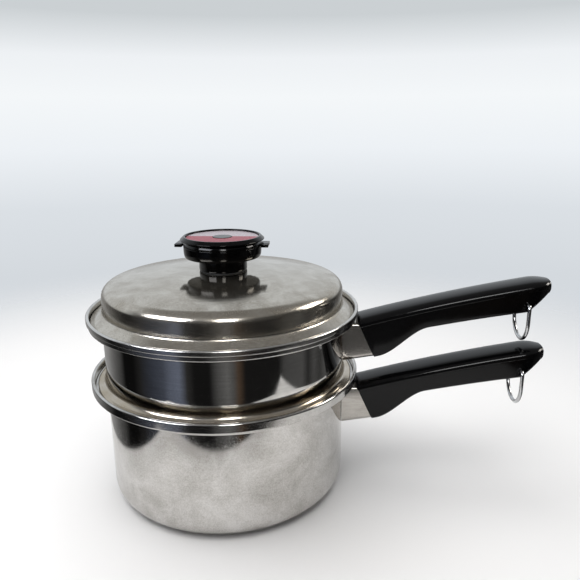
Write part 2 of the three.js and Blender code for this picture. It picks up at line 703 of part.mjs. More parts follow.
// Round wire bent to a U, with its ends turned in to the pivots. Its own origin is the pivot.
function hangRing() {
  const leg = GRIP_WIDTH / 2 + RING_GAP + WIRE / 2;
  const inner = GRIP_WIDTH / 2 - EDGE_STEP - PIVOT_DEPTH;
  const points = [new THREE.Vector3(0, inner, 0)];
  const bend = (y, z, size, from, to, steps) => {
    for (let i = 0; i <= steps; i++) {
      const angle = radians(lerp(from, to, i / steps));
      points.push(new THREE.Vector3(0, y + size * Math.cos(angle), z + size * Math.sin(angle)));
    }
  };
  bend(leg - RING_BEND, -RING_BEND, RING_BEND, 90, 0, 3);
  bend(0, leg - RING_DROP, leg, 0, -180, 10);
  bend(RING_BEND - leg, -RING_BEND, RING_BEND, 180, 90, 3);
  points.push(new THREE.Vector3(0, -inner, 0));
  const section = new THREE.Shape();
  for (let i = 0; i < 8; i++) {
    const angle = (TAU * (i + 0.5)) / 8;
    section[i ? "lineTo" : "moveTo"]((WIRE / 2) * Math.cos(angle), (WIRE / 2) * Math.sin(angle));
  }
  section.closePath();
  const path = new THREE.CatmullRomCurve3(points, false, "centripetal");
  return new THREE.ExtrudeGeometry(section, { steps: 32, bevelEnabled: false, extrudePath: path });
}

function handle(pan, name, lipTop, drop) {
  const group = groupAt(pan, BODY_RADIUS, 0, lipTop - drop);
  const washer = collar(
    GRIP_SCREW_RADIUS + FIT_GAP,
    GRIP_WASHER_RADIUS,
    GRIP_WASHER_FOOT,
    GRIP_WASHER_FOOT + GRIP_WASHER_THICKNESS,
    SMALL_SIDES,
  );
  const screw = headedScrew(
    GRIP_SCREW_RADIUS,
    GRIP_SCREW_HEAD_RADIUS,
    GRIP_SCREW_HEAD,
    SCREW_HEAD_FOOT + GRIP_SCREW_HEAD,
    TANG_TOP - FIT_GAP,
  );
  piece(group, `${name}_handle_bracket`, bracket(), satinSteel);
  piece(group, `${name}_handle_tang`, tang(), satinSteel);
  piece(group, `${name}_handle_grip`, grip(), phenolic);
  piece(group, `${name}_grip_washer`, washer.translate(GRIP_SCREW_REACH, 0, 0), satinSteel);
  piece(group, `${name}_grip_screw`, screw.translate(GRIP_SCREW_REACH, 0, 0), satinSteel);
  piece(groupAt(group, PIVOT_X, 0, PIVOT_Z), `${name}_hang_ring`, hangRing(), wireSteel);
}

const steamerPot = new THREE.Group();
piece(steamerPot, "saucepan_body", saucepanBody(), satinSteel);
handle(steamerPot, "saucepan", POT_HEIGHT, POT_HANDLE_DROP);

const steamer = groupAt(steamerPot, 0, 0, POT_LEDGE + SEAT_GAP);
piece(steamer, "steamer_body", steamerBody(), polishedSteel);
handle(steamer, "steamer", STEAMER_STAND, STEAMER_HANDLE_DROP);

const lid = groupAt(steamer, 0, 0, STEAMER_STAND - LEDGE_DROP + SEAT_GAP);
piece(lid, "lid_shell", lidShell(), satinSteel);
ventKnob(lid);

export default steamerPot;
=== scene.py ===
# Looks of a stovetop steamer: a saucepan, a steamer pan nested on its rim, and a domed lid with a vent knob.

import json
import math

import bmesh
import bpy
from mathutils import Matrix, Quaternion, Vector


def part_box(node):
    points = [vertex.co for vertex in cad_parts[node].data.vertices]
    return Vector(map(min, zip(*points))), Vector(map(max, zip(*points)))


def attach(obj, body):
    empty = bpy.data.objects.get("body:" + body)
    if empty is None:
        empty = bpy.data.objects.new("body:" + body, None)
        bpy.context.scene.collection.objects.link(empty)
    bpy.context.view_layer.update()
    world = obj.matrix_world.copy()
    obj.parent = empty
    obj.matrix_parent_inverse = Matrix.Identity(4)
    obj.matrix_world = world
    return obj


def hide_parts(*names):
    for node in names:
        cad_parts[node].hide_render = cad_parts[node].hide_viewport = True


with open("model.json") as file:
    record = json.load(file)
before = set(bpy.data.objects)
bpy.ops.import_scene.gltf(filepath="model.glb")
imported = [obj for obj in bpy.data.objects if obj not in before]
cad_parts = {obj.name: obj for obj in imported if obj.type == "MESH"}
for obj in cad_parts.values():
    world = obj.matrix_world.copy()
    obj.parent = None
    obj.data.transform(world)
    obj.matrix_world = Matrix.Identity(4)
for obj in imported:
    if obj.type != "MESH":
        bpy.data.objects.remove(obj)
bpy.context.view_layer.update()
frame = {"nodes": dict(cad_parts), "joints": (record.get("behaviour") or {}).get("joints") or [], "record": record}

# Sizes are in millimetres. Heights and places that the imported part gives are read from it.
MM = 0.001


def corners(part):
    """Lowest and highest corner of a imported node, in millimetres."""
    low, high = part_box(part)
    return low / MM, high / MM


# Pans.
WALL_RADIUS = 86.5  # outside of both pans' walls
SHEET = 1.2
LIP_WIDTH = 2.4
LEDGE_DROP = 6.3
LEDGE_ROUND = 1.5
LEDGE_FILLET = 0.7
CHANNEL_ROUND = 0.9  # lower outside edge of the channel that a ledge and its lip make
POT_BASE = 2.2
POT_CORNER = 13
POT_FLARE = 5.5
POT_BAND = 6.5
POT_RECESS = 0.5  # shallow dish in the middle of the underside
POT_RECESS_RADIUS = 58
STEAMER_DROP = 17.2  # from its seat on the ledge down to its underside
STEAMER_NEST = 0.8
STEAMER_CORNER = 9
STEAMER_FLARE = 2.8
STEAMER_BAND = 3.9
SEAT_BEAD = 6
SEAT_BEAD_ROUND = 0.9
SEAT_BEAD_FILLET = 4.2
SEAT_NECK = 0.6  # how far the wall draws in just above the seat bead
SEAT_NECK_HEIGHT = 10
STEAM_HOLE = 2.6  # radius
STEAM_RINGS = ((0, 1), (17, 6), (36, 11), (55, 16))  # radius and number of holes
POT_LIP = corners("saucepan_body")[1].z
LIP_RADIUS = corners("saucepan_body")[1].x
INSIDE_RADIUS = WALL_RADIUS - SHEET
STEAMER_FOOT = corners("steamer_body")[0].z
STEAMER_LIP = corners("steamer_body")[1].z
STEAMER_SEAT = STEAMER_FOOT + STEAMER_DROP

# Lid.
LID_SHEET = 1
LID_PLAY = 0.6
LID_INSET = 1
BRIM_BEAD = 1
BRIM_HEIGHT = 8.9
BRIM_FILLET = 2.5
BRIM_SLOPE = 36  # degrees
BRIM_ROLL = (-130, 62)  # degrees between which its edge is rolled
SHOULDER_HEIGHT = 17.1
SHOULDER = 7.5
CROWN_SLOPE = 11.6  # degrees
KNOB_FLAT = 18.3  # flat radius under the knob
SCREW_HOLE = 2.5  # radius
VENT_HOLE = 1.6  # radius
VENT_CIRCLE = 9.5  # radius on which the vent holes lie
LID_SEAT = corners("lid_shell")[0].z
KNOB_SEAT = corners("lid_shell")[1].z
LID_RADIUS = WALL_RADIUS - LID_INSET

# Vent knob.
MOULD_ROUND = 0.8  # rounded edges of the moulded pieces
FIT_GAP = 0.3
FOOT_WALL = 3.6
FOOT_WEB = 3
BOSS_WALL = 2.4
CUP_TAPER = 0.9  # how much narrower the cup is at its foot
CUP_CURVE = 4  # power of the curve there
CUP_WALL = 2.6
CUP_FLOOR = 2
VALVE_DISC = 1.8
FLANGE_LEAN = (15, 40)  # degrees, how far the flange's side leans in at its foot and at its top
TAB_WIDTH = 14
TAB_THICKNESS = 2.3
TAB_DROP = 1
TAB_ROUND = 0.35
OUTLET_DEPTH = 1.75
OUTLET_ANGLES = (60, 120)  # degrees from a tab
TOP_LEAN = 2.1  # how much narrower the cap is at its top
TOP_LEAN_ANGLE = 40  # degrees
TOP_PLATE = 1.1
TOP_RIM = 3.7
TOP_RECESS = 2.4  # depth of the screw head's seat below the disc
DISC_ROUND = 0.15
PLUG_ROUND = 0.2
INSERT_RADIUS = corners("knob_insert")[1].x
KNOB_POST = INSERT_RADIUS + FIT_GAP + BOSS_WALL

# Handles. Distances run out from the wall, heights from the edge of the grip's top at its root.
BRACKET_REACH = 10
END_LEAN = 24.7  # degrees
BRACKET_WIDTH = 22
BRACKET_TOP = 1.2
BRACKET_DEPTH = 24.8
BRACKET_FOOT_SLOPE = 10  # degrees
LOWER_FOLD = 3.4  # radius of the bracket's lower folds
UPPER_FOLD = 1.6
GRIP_REACH = 142.8
GRIP_WIDTH = 26
GRIP_CROWN = 2.5
GRIP_THICKNESS = 15
GRIP_SWELL = 2  # degrees
ROOT_DEPTH = 14.6
ROOT_FADE_START = 26
ROOT_FADE_END = 60
RISE_START = 15.85  # degrees
RISE_END = 9.87  # degrees
EDGE_DEPTH = 4.2
EDGE_STEP = 0.7
EDGE_ROUND = 0.9
STEP_LINE = 0.45  # height of the fine line under the edge strip
CROWN_POWER = 2.5  # above 2 the section's top is flatter than an ellipse
SIDE_TAPER = 1.6
BOTTOM_ROUND = 3
NOSE_ANGLE = 44  # degrees
NOSE_EDGE = 1.2
NOSE_ROUND = 14
NOSE_NARROW = 9
NOSE_DROOP = 2.3
NOSE_SOFT = 1.3  # rounding of the tip's edges
SCREW_REACH = 30
SCREW_RECESS = 4.7  # radius
SCREW_RECESS_DEPTH = 4.6

# Screws, each with the radius of its shank and the height of its head.
GRIP_SCREW = (2, 2.2)
LID_SCREW = (2.2, 2.4)
SCREW_DOME = 0.4  # share of a head's height that is domed
DOME_POINTS = ((0, 0), (0.55, 0.12), (0.85, 0.5), (1, 1))  # shares of the head's radius and its dome
DRIVER_SLOT = 1  # width
SLOT_DEPTH = 1.1
SLOT_ROUND = 0.125

# Washers and gasket, each with the radius of its bore and the rounding of its outer edges.
GRIP_WASHER = (2.3, 0.15)
KNOB_WASHER = (SCREW_HOLE, 0.2)
GASKET = (13.2, 0.3)

# Hang rings.
WIRE = 2.6
RING_GAP = 0.5
RING_BEND = 2.6
RING_DROP = 27.4
PIVOT_DEPTH = 5
PIVOT_GAP = 0.35
RING_LEG = GRIP_WIDTH / 2 + RING_GAP + WIRE / 2
RING_END = GRIP_WIDTH / 2 - EDGE_STEP - PIVOT_DEPTH

# Finishes. Grit and specks are finer on a real pan: here they are as coarse as they need to be to show.
GLOSS_SPAN = 200  # length along which a finish may change
GRIT = 1  # width of a grit mark in the steel
SPECK = 0.9  # width of a speck in the resin
HAZE = 14  # width of a dulled patch on the resin
FLECK = 1.1  # width of the foil's embossing
WAVE = 38  # width of the waves in what sheet mirrors
HEAT_TINT = "#a8946e"
HEAT_SHARE = 0.6  # how strong the tint gets
HEAT_EDGE = 12  # how far clouds shift the tint's edge
FOIL_DIVIDE = (1.5, 2.5)  # where the foil's red ends and its silver starts, behind its middle

# Fineness of the meshes.
PAN_STEPS = 180
KNOB_STEPS = 96
SMALL_STEPS = 40
HOLE_STEPS = 24
WIRE_SIDES = 20
BEND_STEPS = 8  # of a ring's small bends
BOW_STEPS = 36  # of its bow
GRIP_STEPS = 62
NOSE_STEPS = 14
MERGE = 1e-7  # metres
HOLD = 0.3  # distance from the end of a straight run to the point that holds it straight
TOUCH = 0.01  # distance within which two places count as one
SMOOTH = math.radians(32)


def ramp(value, start, end):
    """0 before start, 1 past end, and an even S between them."""
    share = min(max((value - start) / (end - start), 0), 1)
    return share * share * (3 - 2 * share)


def slope(degrees):
    """Rise over run at an angle."""
    return math.tan(math.radians(degrees))


def arc(radius, height, size, first, last, steps):
    """Points of an arc in a profile, about a centre, between two angles in degrees."""
    angles = [math.radians(first + (last - first) * i / steps) for i in range(steps + 1)]
    return [(radius + size * math.cos(a), height + size * math.sin(a)) for a in angles]


def place(across, along, up):
    """A point in metres from one in millimetres."""
    return Vector((across, along, up)) * MM


def pick(piece, test):
    """In edit mode, selects the vertices whose place in millimetres passes a test."""
    mesh = bmesh.from_edit_mesh(piece.data)
    for vertex in mesh.verts:
        vertex.select = test(vertex.co / MM)
    mesh.select_flush_mode()
    bmesh.update_edit_mesh(piece.data)


def take_up(piece):
    """Makes a piece the only selected and the active object."""
    bpy.ops.object.select_all(action="DESELECT")
    piece.select_set(True)
    bpy.context.view_layer.objects.active = piece


def name_new(name):
    """Names the object that was just added, and its mesh."""
    piece = bpy.context.object
    piece.name = name
    piece.data.name = name
    return piece


def start_point(name, point):
    """A new mesh of one vertex, selected, in edit mode."""
    bpy.ops.object.select_all(action="DESELECT")
    bpy.ops.mesh.primitive_plane_add(size=MM)
    piece = name_new(name)
    bpy.ops.object.mode_set(mode="EDIT")
    bpy.ops.mesh.merge(type="CENTER")
    bpy.ops.transform.translate(value=point)
    return piece


def extrude(step):
    """Draws the selected part of the mesh in hand out by a step in metres."""
    bpy.ops.mesh.extrude_region_move(TRANSFORM_OT_translate={"value": step})


def draw_line(points):
    """Extrudes the selected vertex from the first point through the others."""
    for before, after in zip(points, points[1:]):
        extrude(after - before)


def open_mesh():
    """Opens the object in hand in edit mode with its whole mesh selected."""
    bpy.ops.object.mode_set(mode="EDIT")
    bpy.ops.mesh.select_all(action="SELECT")


def settle():
    """Keeps the place, turn and size of the object in hand in its mesh."""
    bpy.ops.object.transform_apply(location=True, rotation=True, scale=True)


def merge_all():
    """Selects the whole mesh in hand and merges what coincides."""
    bpy.ops.mesh.select_all(action="SELECT")
    bpy.ops.mesh.remove_doubles(threshold=MERGE)
    bpy.ops.mesh.select_all(action="SELECT")


def close_mesh():
    """Merges the mesh in hand, turns its faces outwards, leaves edit mode and smooths it."""
    merge_all()
    bpy.ops.mesh.normals_make_consistent(inside=False)
    bpy.ops.object.mode_set(mode="OBJECT")
    bpy.ops.object.shade_smooth_by_angle(angle=SMOOTH)


def held(profile):
    """The profile with a point near both ends of each long run, so that it mirrors as a straight one."""
    points = profile[:1]
    for start, end in zip(profile, profile[1:]):
        run = math.dist(start, end)
        shares = (HOLD / run, 1 - HOLD / run, 1) if run > 10 * HOLD else (1,)
        points += [(start[0] + (end[0] - start[0]) * s, start[1] + (end[1] - start[1]) * s) for s in shares]
    return points


def turn(name, profile, steps):
    """A piece turned about the pans' axis from a profile of radii and heights."""
    points = [place(radius, 0, height) for radius, height in held(profile)]
    piece = start_point(name, points[0])
    draw_line(points)
    bpy.ops.mesh.select_all(action="SELECT")
    bpy.ops.mesh.spin(steps=steps, angle=math.tau, center=(0, 0, 0), axis=(0, 0, 1))
    close_mesh()
    return piece


def shift(piece, across, along, up):
    """Moves a piece by millimetres, with the move kept in its mesh."""
    take_up(piece)
    bpy.ops.transform.translate(value=place(across, along, up))
    settle()


def spin(piece, degrees):
    """Turns a piece anticlockwise about the pans' axis, with the turn kept in its mesh."""
    take_up(piece)
    bpy.ops.transform.rotate(value=-math.radians(degrees), orient_axis="Z", center_override=(0, 0, 0))
    settle()


def copy_up(piece, name, up):
    """A copy of a piece with its own mesh, higher by millimetres."""
    take_up(piece)
    bpy.ops.object.duplicate(linked=False)
    copy = name_new(name)
    shift(copy, 0, 0, up)
    return copy


def work(piece, tool, operation="DIFFERENCE"):
    """Cuts a piece with another, or joins the other to it, and clears faces without area."""
    take_up(piece)
    step = piece.modifiers.new(operation.lower(), "BOOLEAN")
    step.operation = operation
    step.solver = "EXACT"
    step.object = tool
    bpy.ops.object.modifier_apply(modifier=step.name)
    bpy.data.objects.remove(tool)
    open_mesh()
    bpy.ops.mesh.dissolve_degenerate(threshold=10 * MERGE)
    bpy.ops.object.mode_set(mode="OBJECT")
    bpy.ops.object.shade_smooth_by_angle(angle=SMOOTH)
    return piece


def rod(radius, length, middle, steps, tilt=0):
    """A round rod about a middle in millimetres: upright, or tilted over across the handles."""
    bpy.ops.object.select_all(action="DESELECT")
    bpy.ops.mesh.primitive_cylinder_add(
        vertices=steps,
        radius=radius * MM,
        depth=length * MM,
        location=place(*middle),
        rotation=(tilt, 0, 0),
    )
    return bpy.context.object


def drills(radius, low, high, places, steps):
    """One cutter made of upright drills at places seen from above."""
    made = [rod(radius, high - low, (x, y, (low + high) / 2), steps) for x, y in places]
    for drill in made:
        drill.select_set(True)
    if len(made) > 1:
        bpy.ops.object.join()
    settle()
    return name_new("drill")


def soft_block(name, low, high, edge, segments):
    """A box between two corners with all its edges rounded."""
    bpy.ops.object.select_all(action="DESELECT")
    bpy.ops.mesh.primitive_cube_add(size=1, location=(low + high) / 2 * MM)
    piece = name_new(name)
    piece.scale = (high - low) * MM
    settle()
    open_mesh()
    bpy.ops.mesh.bevel(offset=edge * MM, segments=segments, affect="EDGES")
    close_mesh()
    return piece


# Pans and lid.


def pan_rim(lip, flare, band):
    """A pan's rim in profile: out under its channel, round the folded lip and in over the ledge."""
    ledge = lip - LEDGE_DROP
    under = ledge - SHEET
    round_lip = LIP_WIDTH / 2
    fold = SHEET / 2
    profile = arc(WALL_RADIUS + flare, under - flare, flare, 180, 90, 10)
    profile += arc(LIP_RADIUS - SHEET - CHANNEL_ROUND, under + CHANNEL_ROUND, CHANNEL_ROUND, -90, 0, 5)
    profile += arc(LIP_RADIUS - fold, lip - band + fold, fold, 180, 360, 8)
    profile += arc(LIP_RADIUS - round_lip, lip - round_lip, round_lip, 0, 180, 12)
    inner = LIP_RADIUS - LIP_WIDTH
    profile += arc(inner - LEDGE_FILLET, ledge + LEDGE_FILLET, LEDGE_FILLET, 0, -90, 5)
    profile += arc(INSIDE_RADIUS + LEDGE_ROUND, ledge - LEDGE_ROUND, LEDGE_ROUND, 90, 180, 6)
    return profile


def saucepan():
    """Drawn pan with a flat base, a rounded corner and a deep banded rim."""
    corner = WALL_RADIUS - POT_CORNER
    profile = [(0, POT_RECESS), (POT_RECESS_RADIUS - 2 * POT_RECESS, POT_RECESS), (POT_RECESS_RADIUS, 0)]
    profile += arc(corner, POT_CORNER, POT_CORNER, -90, 0, 16)
    profile += pan_rim(POT_LIP, POT_FLARE, POT_BAND)
    profile += arc(corner, POT_CORNER + POT_BASE - SHEET, POT_CORNER - SHEET, 0, -90, 14)
    profile.append((0, POT_BASE))
    return turn("drawn_saucepan", profile, PAN_STEPS)


def steamer():
    """Drawn pan with a perforated base and a bead that seats on the saucepan's ledge."""
    lower = INSIDE_RADIUS - STEAMER_NEST
    corner = lower - STEAMER_CORNER
    bend = STEAMER_FOOT + STEAMER_CORNER
    bead = WALL_RADIUS + SEAT_BEAD - SEAT_BEAD_ROUND
    fillet = STEAMER_SEAT + 2 * SEAT_BEAD_ROUND + SEAT_BEAD_FILLET
    profile = [(0, STEAMER_FOOT)]
    profile += arc(corner, bend, STEAMER_CORNER, -90, 0, 12)
    profile.append((lower, STEAMER_SEAT))
    profile += arc(bead, STEAMER_SEAT + SEAT_BEAD_ROUND, SEAT_BEAD_ROUND, -90, 90, 8)
    neck = WALL_RADIUS - SEAT_NECK
    profile += arc(neck + SEAT_BEAD_FILLET, fillet, SEAT_BEAD_FILLET, 270, 180, 8)
    steps = 8
    for i in range(1, steps + 1):
        profile.append((neck + SEAT_NECK * ramp(i, 0, steps), fillet + SEAT_NECK_HEIGHT * i / steps))
    profile += pan_rim(STEAMER_LIP, STEAMER_FLARE, STEAMER_BAND)
    profile += [(INSIDE_RADIUS, STEAMER_SEAT + SHEET + STEAMER_NEST), (lower - SHEET, STEAMER_SEAT + SHEET)]
    profile += arc(corner, bend, STEAMER_CORNER - SHEET, 0, -90, 10)
    profile.append((0, STEAMER_FOOT + SHEET))
    piece = turn("drawn_steamer", profile, PAN_STEPS)
    places = []
    for radius, count in STEAM_RINGS:
        angles = [math.tau * i / count for i in range(count)]
        places += [(radius * math.cos(a), radius * math.sin(a)) for a in angles]
    holes = drills(STEAM_HOLE, STEAMER_FOOT - SHEET, STEAMER_FOOT + 2 * SHEET, places, HOLE_STEPS)
    return work(piece, holes)


def lid_skin(inset):
    """Profile of the lid's outside, or of its inside at an inset, from the screw hole to the brim."""
    bend = LID_SEAT + SHOULDER_HEIGHT
    shoulder = arc(LID_RADIUS - SHOULDER, bend, SHOULDER - inset, 90 - CROWN_SLOPE, 0, 14)
    top = KNOB_SEAT - inset
    start_radius, start_height = shoulder[0]
    span = start_radius - KNOB_FLAT
    rise = top - start_height
    steps = 16
    crown = [(KNOB_FLAT + i / steps * span, top - (i / steps) ** 2 * rise) for i in range(steps)]
    foot = LID_SEAT + BRIM_HEIGHT
    fillet = arc(LID_RADIUS + BRIM_FILLET, foot, BRIM_FILLET + inset, 180, 270 - BRIM_SLOPE, 10)
    return [(SCREW_HOLE, top)] + crown + shoulder + fillet


def lid():
    """Domed lid with a flat seat for the knob, a short wall and a sloping brim with a rolled edge."""
    bead = LIP_RADIUS - LIP_WIDTH - LID_PLAY - BRIM_BEAD
    profile = lid_skin(LID_SHEET)
    profile += arc(bead, LID_SEAT + BRIM_BEAD, BRIM_BEAD, *BRIM_ROLL, 14)
    profile += lid_skin(0)[::-1]
    profile.append(profile[0])
    piece = turn("domed_lid", profile, PAN_STEPS)
    places = [(VENT_CIRCLE, 0), (-VENT_CIRCLE, 0)]
    holes = drills(VENT_HOLE, KNOB_SEAT - 2 * LID_SHEET, KNOB_SEAT + LID_SHEET, places, HOLE_STEPS)
    return work(piece, holes)


# Vent knob.


def ring_profile(inner, outer, low, high, edge):
    """Section of a turned ring with rounded outer edges."""
    profile = [(inner, low)]
    profile += arc(outer - edge, low + edge, edge, -90, 0, 5)
    profile += arc(outer - edge, high - edge, edge, 0, 90, 5)
    return profile + [(inner, high), (inner, low)]


def knob_foot():
    """Narrow hollow foot that stands on the gasket and carries the cup, with a boss for the insert."""
    low, high = corners("knob_pedestal")
    gasket = corners("knob_gasket")[1].z
    outer = high.x
    inner = outer - FOOT_WALL
    bore = INSERT_RADIUS + FIT_GAP
    web = high.z - FOOT_WEB
    profile = [(bore, low.z), (KNOB_POST, low.z), (KNOB_POST, web), (inner, web), (inner, gasket)]
    profile += arc(outer - MOULD_ROUND, gasket + MOULD_ROUND, MOULD_ROUND, -90, 0, 4)
    profile += [(outer, high.z), (bore, high.z), (bore, low.z)]
    return turn("knob_foot", profile, KNOB_STEPS)


def knob_cup():
    """The wide round body of the knob, a shallow cup that draws in a little at its foot."""
    low, high = corners("knob_barrel")
    outer = high.x
    inner = outer - CUP_WALL
    floor = low.z + CUP_FLOOR
    edge = MOULD_ROUND / 2
    tall = high.z - low.z
    profile = [(SCREW_HOLE, low.z)]
    profile += arc(outer - CUP_TAPER - edge, low.z + edge, edge, -90, -20, 5)
    steps = 8
    for i in range(1, steps - 1):
        profile.append((outer - CUP_TAPER * (1 - i / steps) ** CUP_CURVE, low.z + tall * i / steps))
    profile += arc(outer - edge, high.z - edge, edge, 0, 90, 4)
    profile += [(inner, high.z), (inner, floor), (SCREW_HOLE, floor), (SCREW_HOLE, low.z)]
    return turn("knob_cup", profile, KNOB_STEPS)


def vent_valve():
    """Rotary valve: a disc in the cup, a flange over the cup's edge and two flat finger tabs."""
    low, high = corners("vent_ring")
    cup = corners("knob_barrel")[1]
    foot = cup.z + FIT_GAP
    reach = high.x
    step = cup.x - CUP_WALL - FIT_GAP
    bore = KNOB_POST + FIT_GAP
    wall = step - CUP_WALL
    disc = low.z + VALVE_DISC
    edge = MOULD_ROUND / 2
    profile = [(bore, low.z), (step, low.z), (step, foot)]
    profile += arc(cup.x - edge, foot + edge, edge, -90, FLANGE_LEAN[0], 5)
    side, up = profile[-1]
    steps = 6
    rise = (high.z - foot - edge) / steps
    for i in range(steps):
        lean = FLANGE_LEAN[0] + (FLANGE_LEAN[1] - FLANGE_LEAN[0]) * i / (steps - 1)
        side, up = side - rise * slope(lean), min(up + rise, high.z)
        profile.append((side, up))
    profile += [(side, high.z), (wall, high.z), (wall, disc), (bore, disc), (bore, low.z)]
    piece = turn("vent_valve", profile, KNOB_STEPS)
    half = TAB_WIDTH / 2
    tab_top = foot + TAB_THICKNESS - TAB_DROP
    root = cup.x - CUP_WALL
    clear = cup.x + FIT_GAP
    tab = soft_block("tab", Vector((root, -half, foot)), Vector((reach, half, tab_top)), TAB_ROUND, 2)
    lug_foot = tab_top - TAB_THICKNESS
    lug = soft_block("lug", Vector((clear, -half, lug_foot)), Vector((reach, half, tab_top)), TAB_ROUND, 2)
    work(tab, lug, "UNION")
    other = copy_up(tab, "other_tab", 0)
    spin(other, 180)
    work(piece, tab, "UNION")
    work(piece, other, "UNION")
    notch_low = Vector((wall, -half, high.z - OUTLET_DEPTH))
    notch_high = Vector((clear, half, high.z + OUTLET_DEPTH))
    for angle in OUTLET_ANGLES:
        notch = soft_block("notch", notch_low, notch_high, TAB_ROUND, 2)
        spin(notch, angle)
        work(piece, notch)
    return piece


def knob_top():
    """The cap, narrower at its top, with a raised rim round its disc and a post down to the cup's floor."""
    low, high = corners("knob_cap")
    disc = corners("knob_medallion")[0].z
    plate = disc - TOP_PLATE
    outer = high.x
    rim = outer - TOP_LEAN
    inner = outer - TOP_RIM
    edge = MOULD_ROUND / 2
    head = corners("knob_cap_screw")[1].x + FIT_GAP
    seat = disc - TOP_RECESS
    profile = [(SCREW_HOLE, low.z), (KNOB_POST, low.z), (KNOB_POST, plate)]
    profile += arc(outer - edge, plate + edge, edge, -90, TOP_LEAN_ANGLE, 6)
    profile += arc(rim - edge, high.z - edge, edge, TOP_LEAN_ANGLE, 90, 4)
    profile += arc(inner + edge, high.z - edge, edge, 90, 180, 5)
    profile += [(inner, disc), (head, disc), (head, seat), (SCREW_HOLE, seat), (SCREW_HOLE, low.z)]
    return turn("knob_top", profile, KNOB_STEPS)


# Washers, discs and screws.


def plain_ring(name, part, inner, edge, steps=SMALL_STEPS):
    """A washer, gasket, disc or plug in the place of its node."""
    low, high = corners(part)
    outer = (high.x - low.x) / 2
    piece = turn(name, ring_profile(inner, outer, low.z, high.z, edge), steps)
    shift(piece, (low.x + high.x) / 2, 0, 0)
    return piece


def slotted_screw(name, part, shank, head_height):
    """Screw driven from below, in the place of its node: a domed slotted head under a plain shank."""
    low, high = corners(part)
    head = (high.x - low.x) / 2
    seat = low.z + head_height
    dome = head_height * SCREW_DOME
    profile = [(head * out, low.z + dome * up) for out, up in DOME_POINTS]
    profile += [(head, seat), (shank, seat), (shank, high.z), (0, high.z)]
    piece = turn(name, profile, SMALL_STEPS)
    slot_low = Vector((-2 * head, -DRIVER_SLOT / 2, low.z - SLOT_DEPTH))
    slot_high = Vector((2 * head, DRIVER_SLOT / 2, low.z + SLOT_DEPTH))
    work(piece, soft_block("slot", slot_low, slot_high, SLOT_ROUND, 1))
    shift(piece, (low.x + high.x) / 2, 0, 0)
    return piece


# Handles.

LEAN = slope(END_LEAN)


def into_nose(x):
    """Share of the way along the rounding of the grip's tip."""
    return min(max((x - GRIP_REACH) / NOSE_ROUND + 1, 0), 1)


def grip_top(x):
    """Height of the middle of the grip's top."""
    run = x - BRACKET_REACH
    first = slope(RISE_START)
    last = slope(RISE_END)
    rise = first * run + (last - first) * run * run / (2 * (GRIP_REACH - BRACKET_REACH))
    return GRIP_CROWN + rise - NOSE_DROOP * into_nose(x) ** 2


def grip_strip(x):
    """Height of the step under the rounded strip along the top's edge."""
    return grip_top(x) - GRIP_CROWN - EDGE_DEPTH


def grip_bottom(x):
    """Height of the grip's underside: the deep root, the grip or the undercut nose."""
    thickness = GRIP_THICKNESS + x * slope(GRIP_SWELL)
    root = ROOT_DEPTH * (1 - ramp(x, ROOT_FADE_START, ROOT_FADE_END))
    undercut = (GRIP_REACH - x) * slope(NOSE_ANGLE)
    nose = grip_strip(GRIP_REACH) - NOSE_EDGE - undercut
    return max(grip_top(x) - GRIP_CROWN - thickness - root, nose)


def grip_half(x):
    """Half the grip's width, drawn in round the tip."""
    return GRIP_WIDTH / 2 - NOSE_NARROW * (1 - math.sqrt(1 - into_nose(x) ** 2))


def grip_section(x):
    """Half the grip's section, from the middle of its top round the edge strip to its underside."""
    top = grip_top(x)
    strip = grip_strip(x)
    bottom = grip_bottom(x)
    half = GRIP_WIDTH / 2
    side = half - EDGE_STEP
    foot = side - SIDE_TAPER
    depth = GRIP_CROWN + EDGE_DEPTH - 2 * EDGE_ROUND
    power = 2 / CROWN_POWER
    steps = 12
    turns = [math.radians(90 * i / steps) for i in range(steps + 1)]
    points = [(half * math.sin(a) ** power, top - depth * (1 - abs(math.cos(a)) ** power)) for a in turns]
    points += arc(half - EDGE_ROUND, strip + EDGE_ROUND, EDGE_ROUND, 0, -70, 4)
    points += [(side, strip), (side, strip - STEP_LINE)]
    points += arc(foot - BOTTOM_ROUND, bottom + BOTTOM_ROUND, BOTTOM_ROUND, 0, -90, 6)
    points += [(foot / 2, bottom), (0, bottom)]
    return points


def grip_stations():
    """Distances from the wall at which the grip's section is set: even, then closer at the nose."""
    start = BRACKET_REACH / 2
    nose = GRIP_REACH - NOSE_ROUND
    end = GRIP_REACH - NOSE_SOFT
    even = [start + (nose - start) * i / GRIP_STEPS for i in range(GRIP_STEPS + 1)]
    turns = [math.radians(90 * i / NOSE_STEPS) for i in range(1, NOSE_STEPS + 1)]
    return even + [nose + (end - nose) * math.sin(a) for a in turns]


def draw_grip_on(piece, datum, before, after):
    """Extrudes the grip's selected section from one distance to the next, and gives it its shape there."""
    rise = grip_top(after) - grip_top(before)
    drop = grip_bottom(after) - grip_bottom(before) - rise
    old_depth = min(grip_strip(before) - grip_bottom(before), 2 * BOTTOM_ROUND)
    new_depth = min(grip_strip(after) - grip_bottom(after), 2 * BOTTOM_ROUND)
    here = WALL_RADIUS + after
    foot = place(here, 0, datum + grip_bottom(after))
    side_top = datum + grip_strip(after) - STEP_LINE - TOUCH
    extrude(place(after - before, 0, rise))
    pick(piece, lambda p: abs(p.x - here) < TOUCH and p.z < side_top)
    bpy.ops.transform.translate(value=place(0, 0, drop))
    bpy.ops.transform.resize(value=(1, 1, new_depth / old_depth), center_override=foot)
    pick(piece, lambda p: abs(p.x - here) < TOUCH)
    bpy.ops.transform.resize(value=(1, grip_half(after) / grip_half(before), 1), center_override=foot)


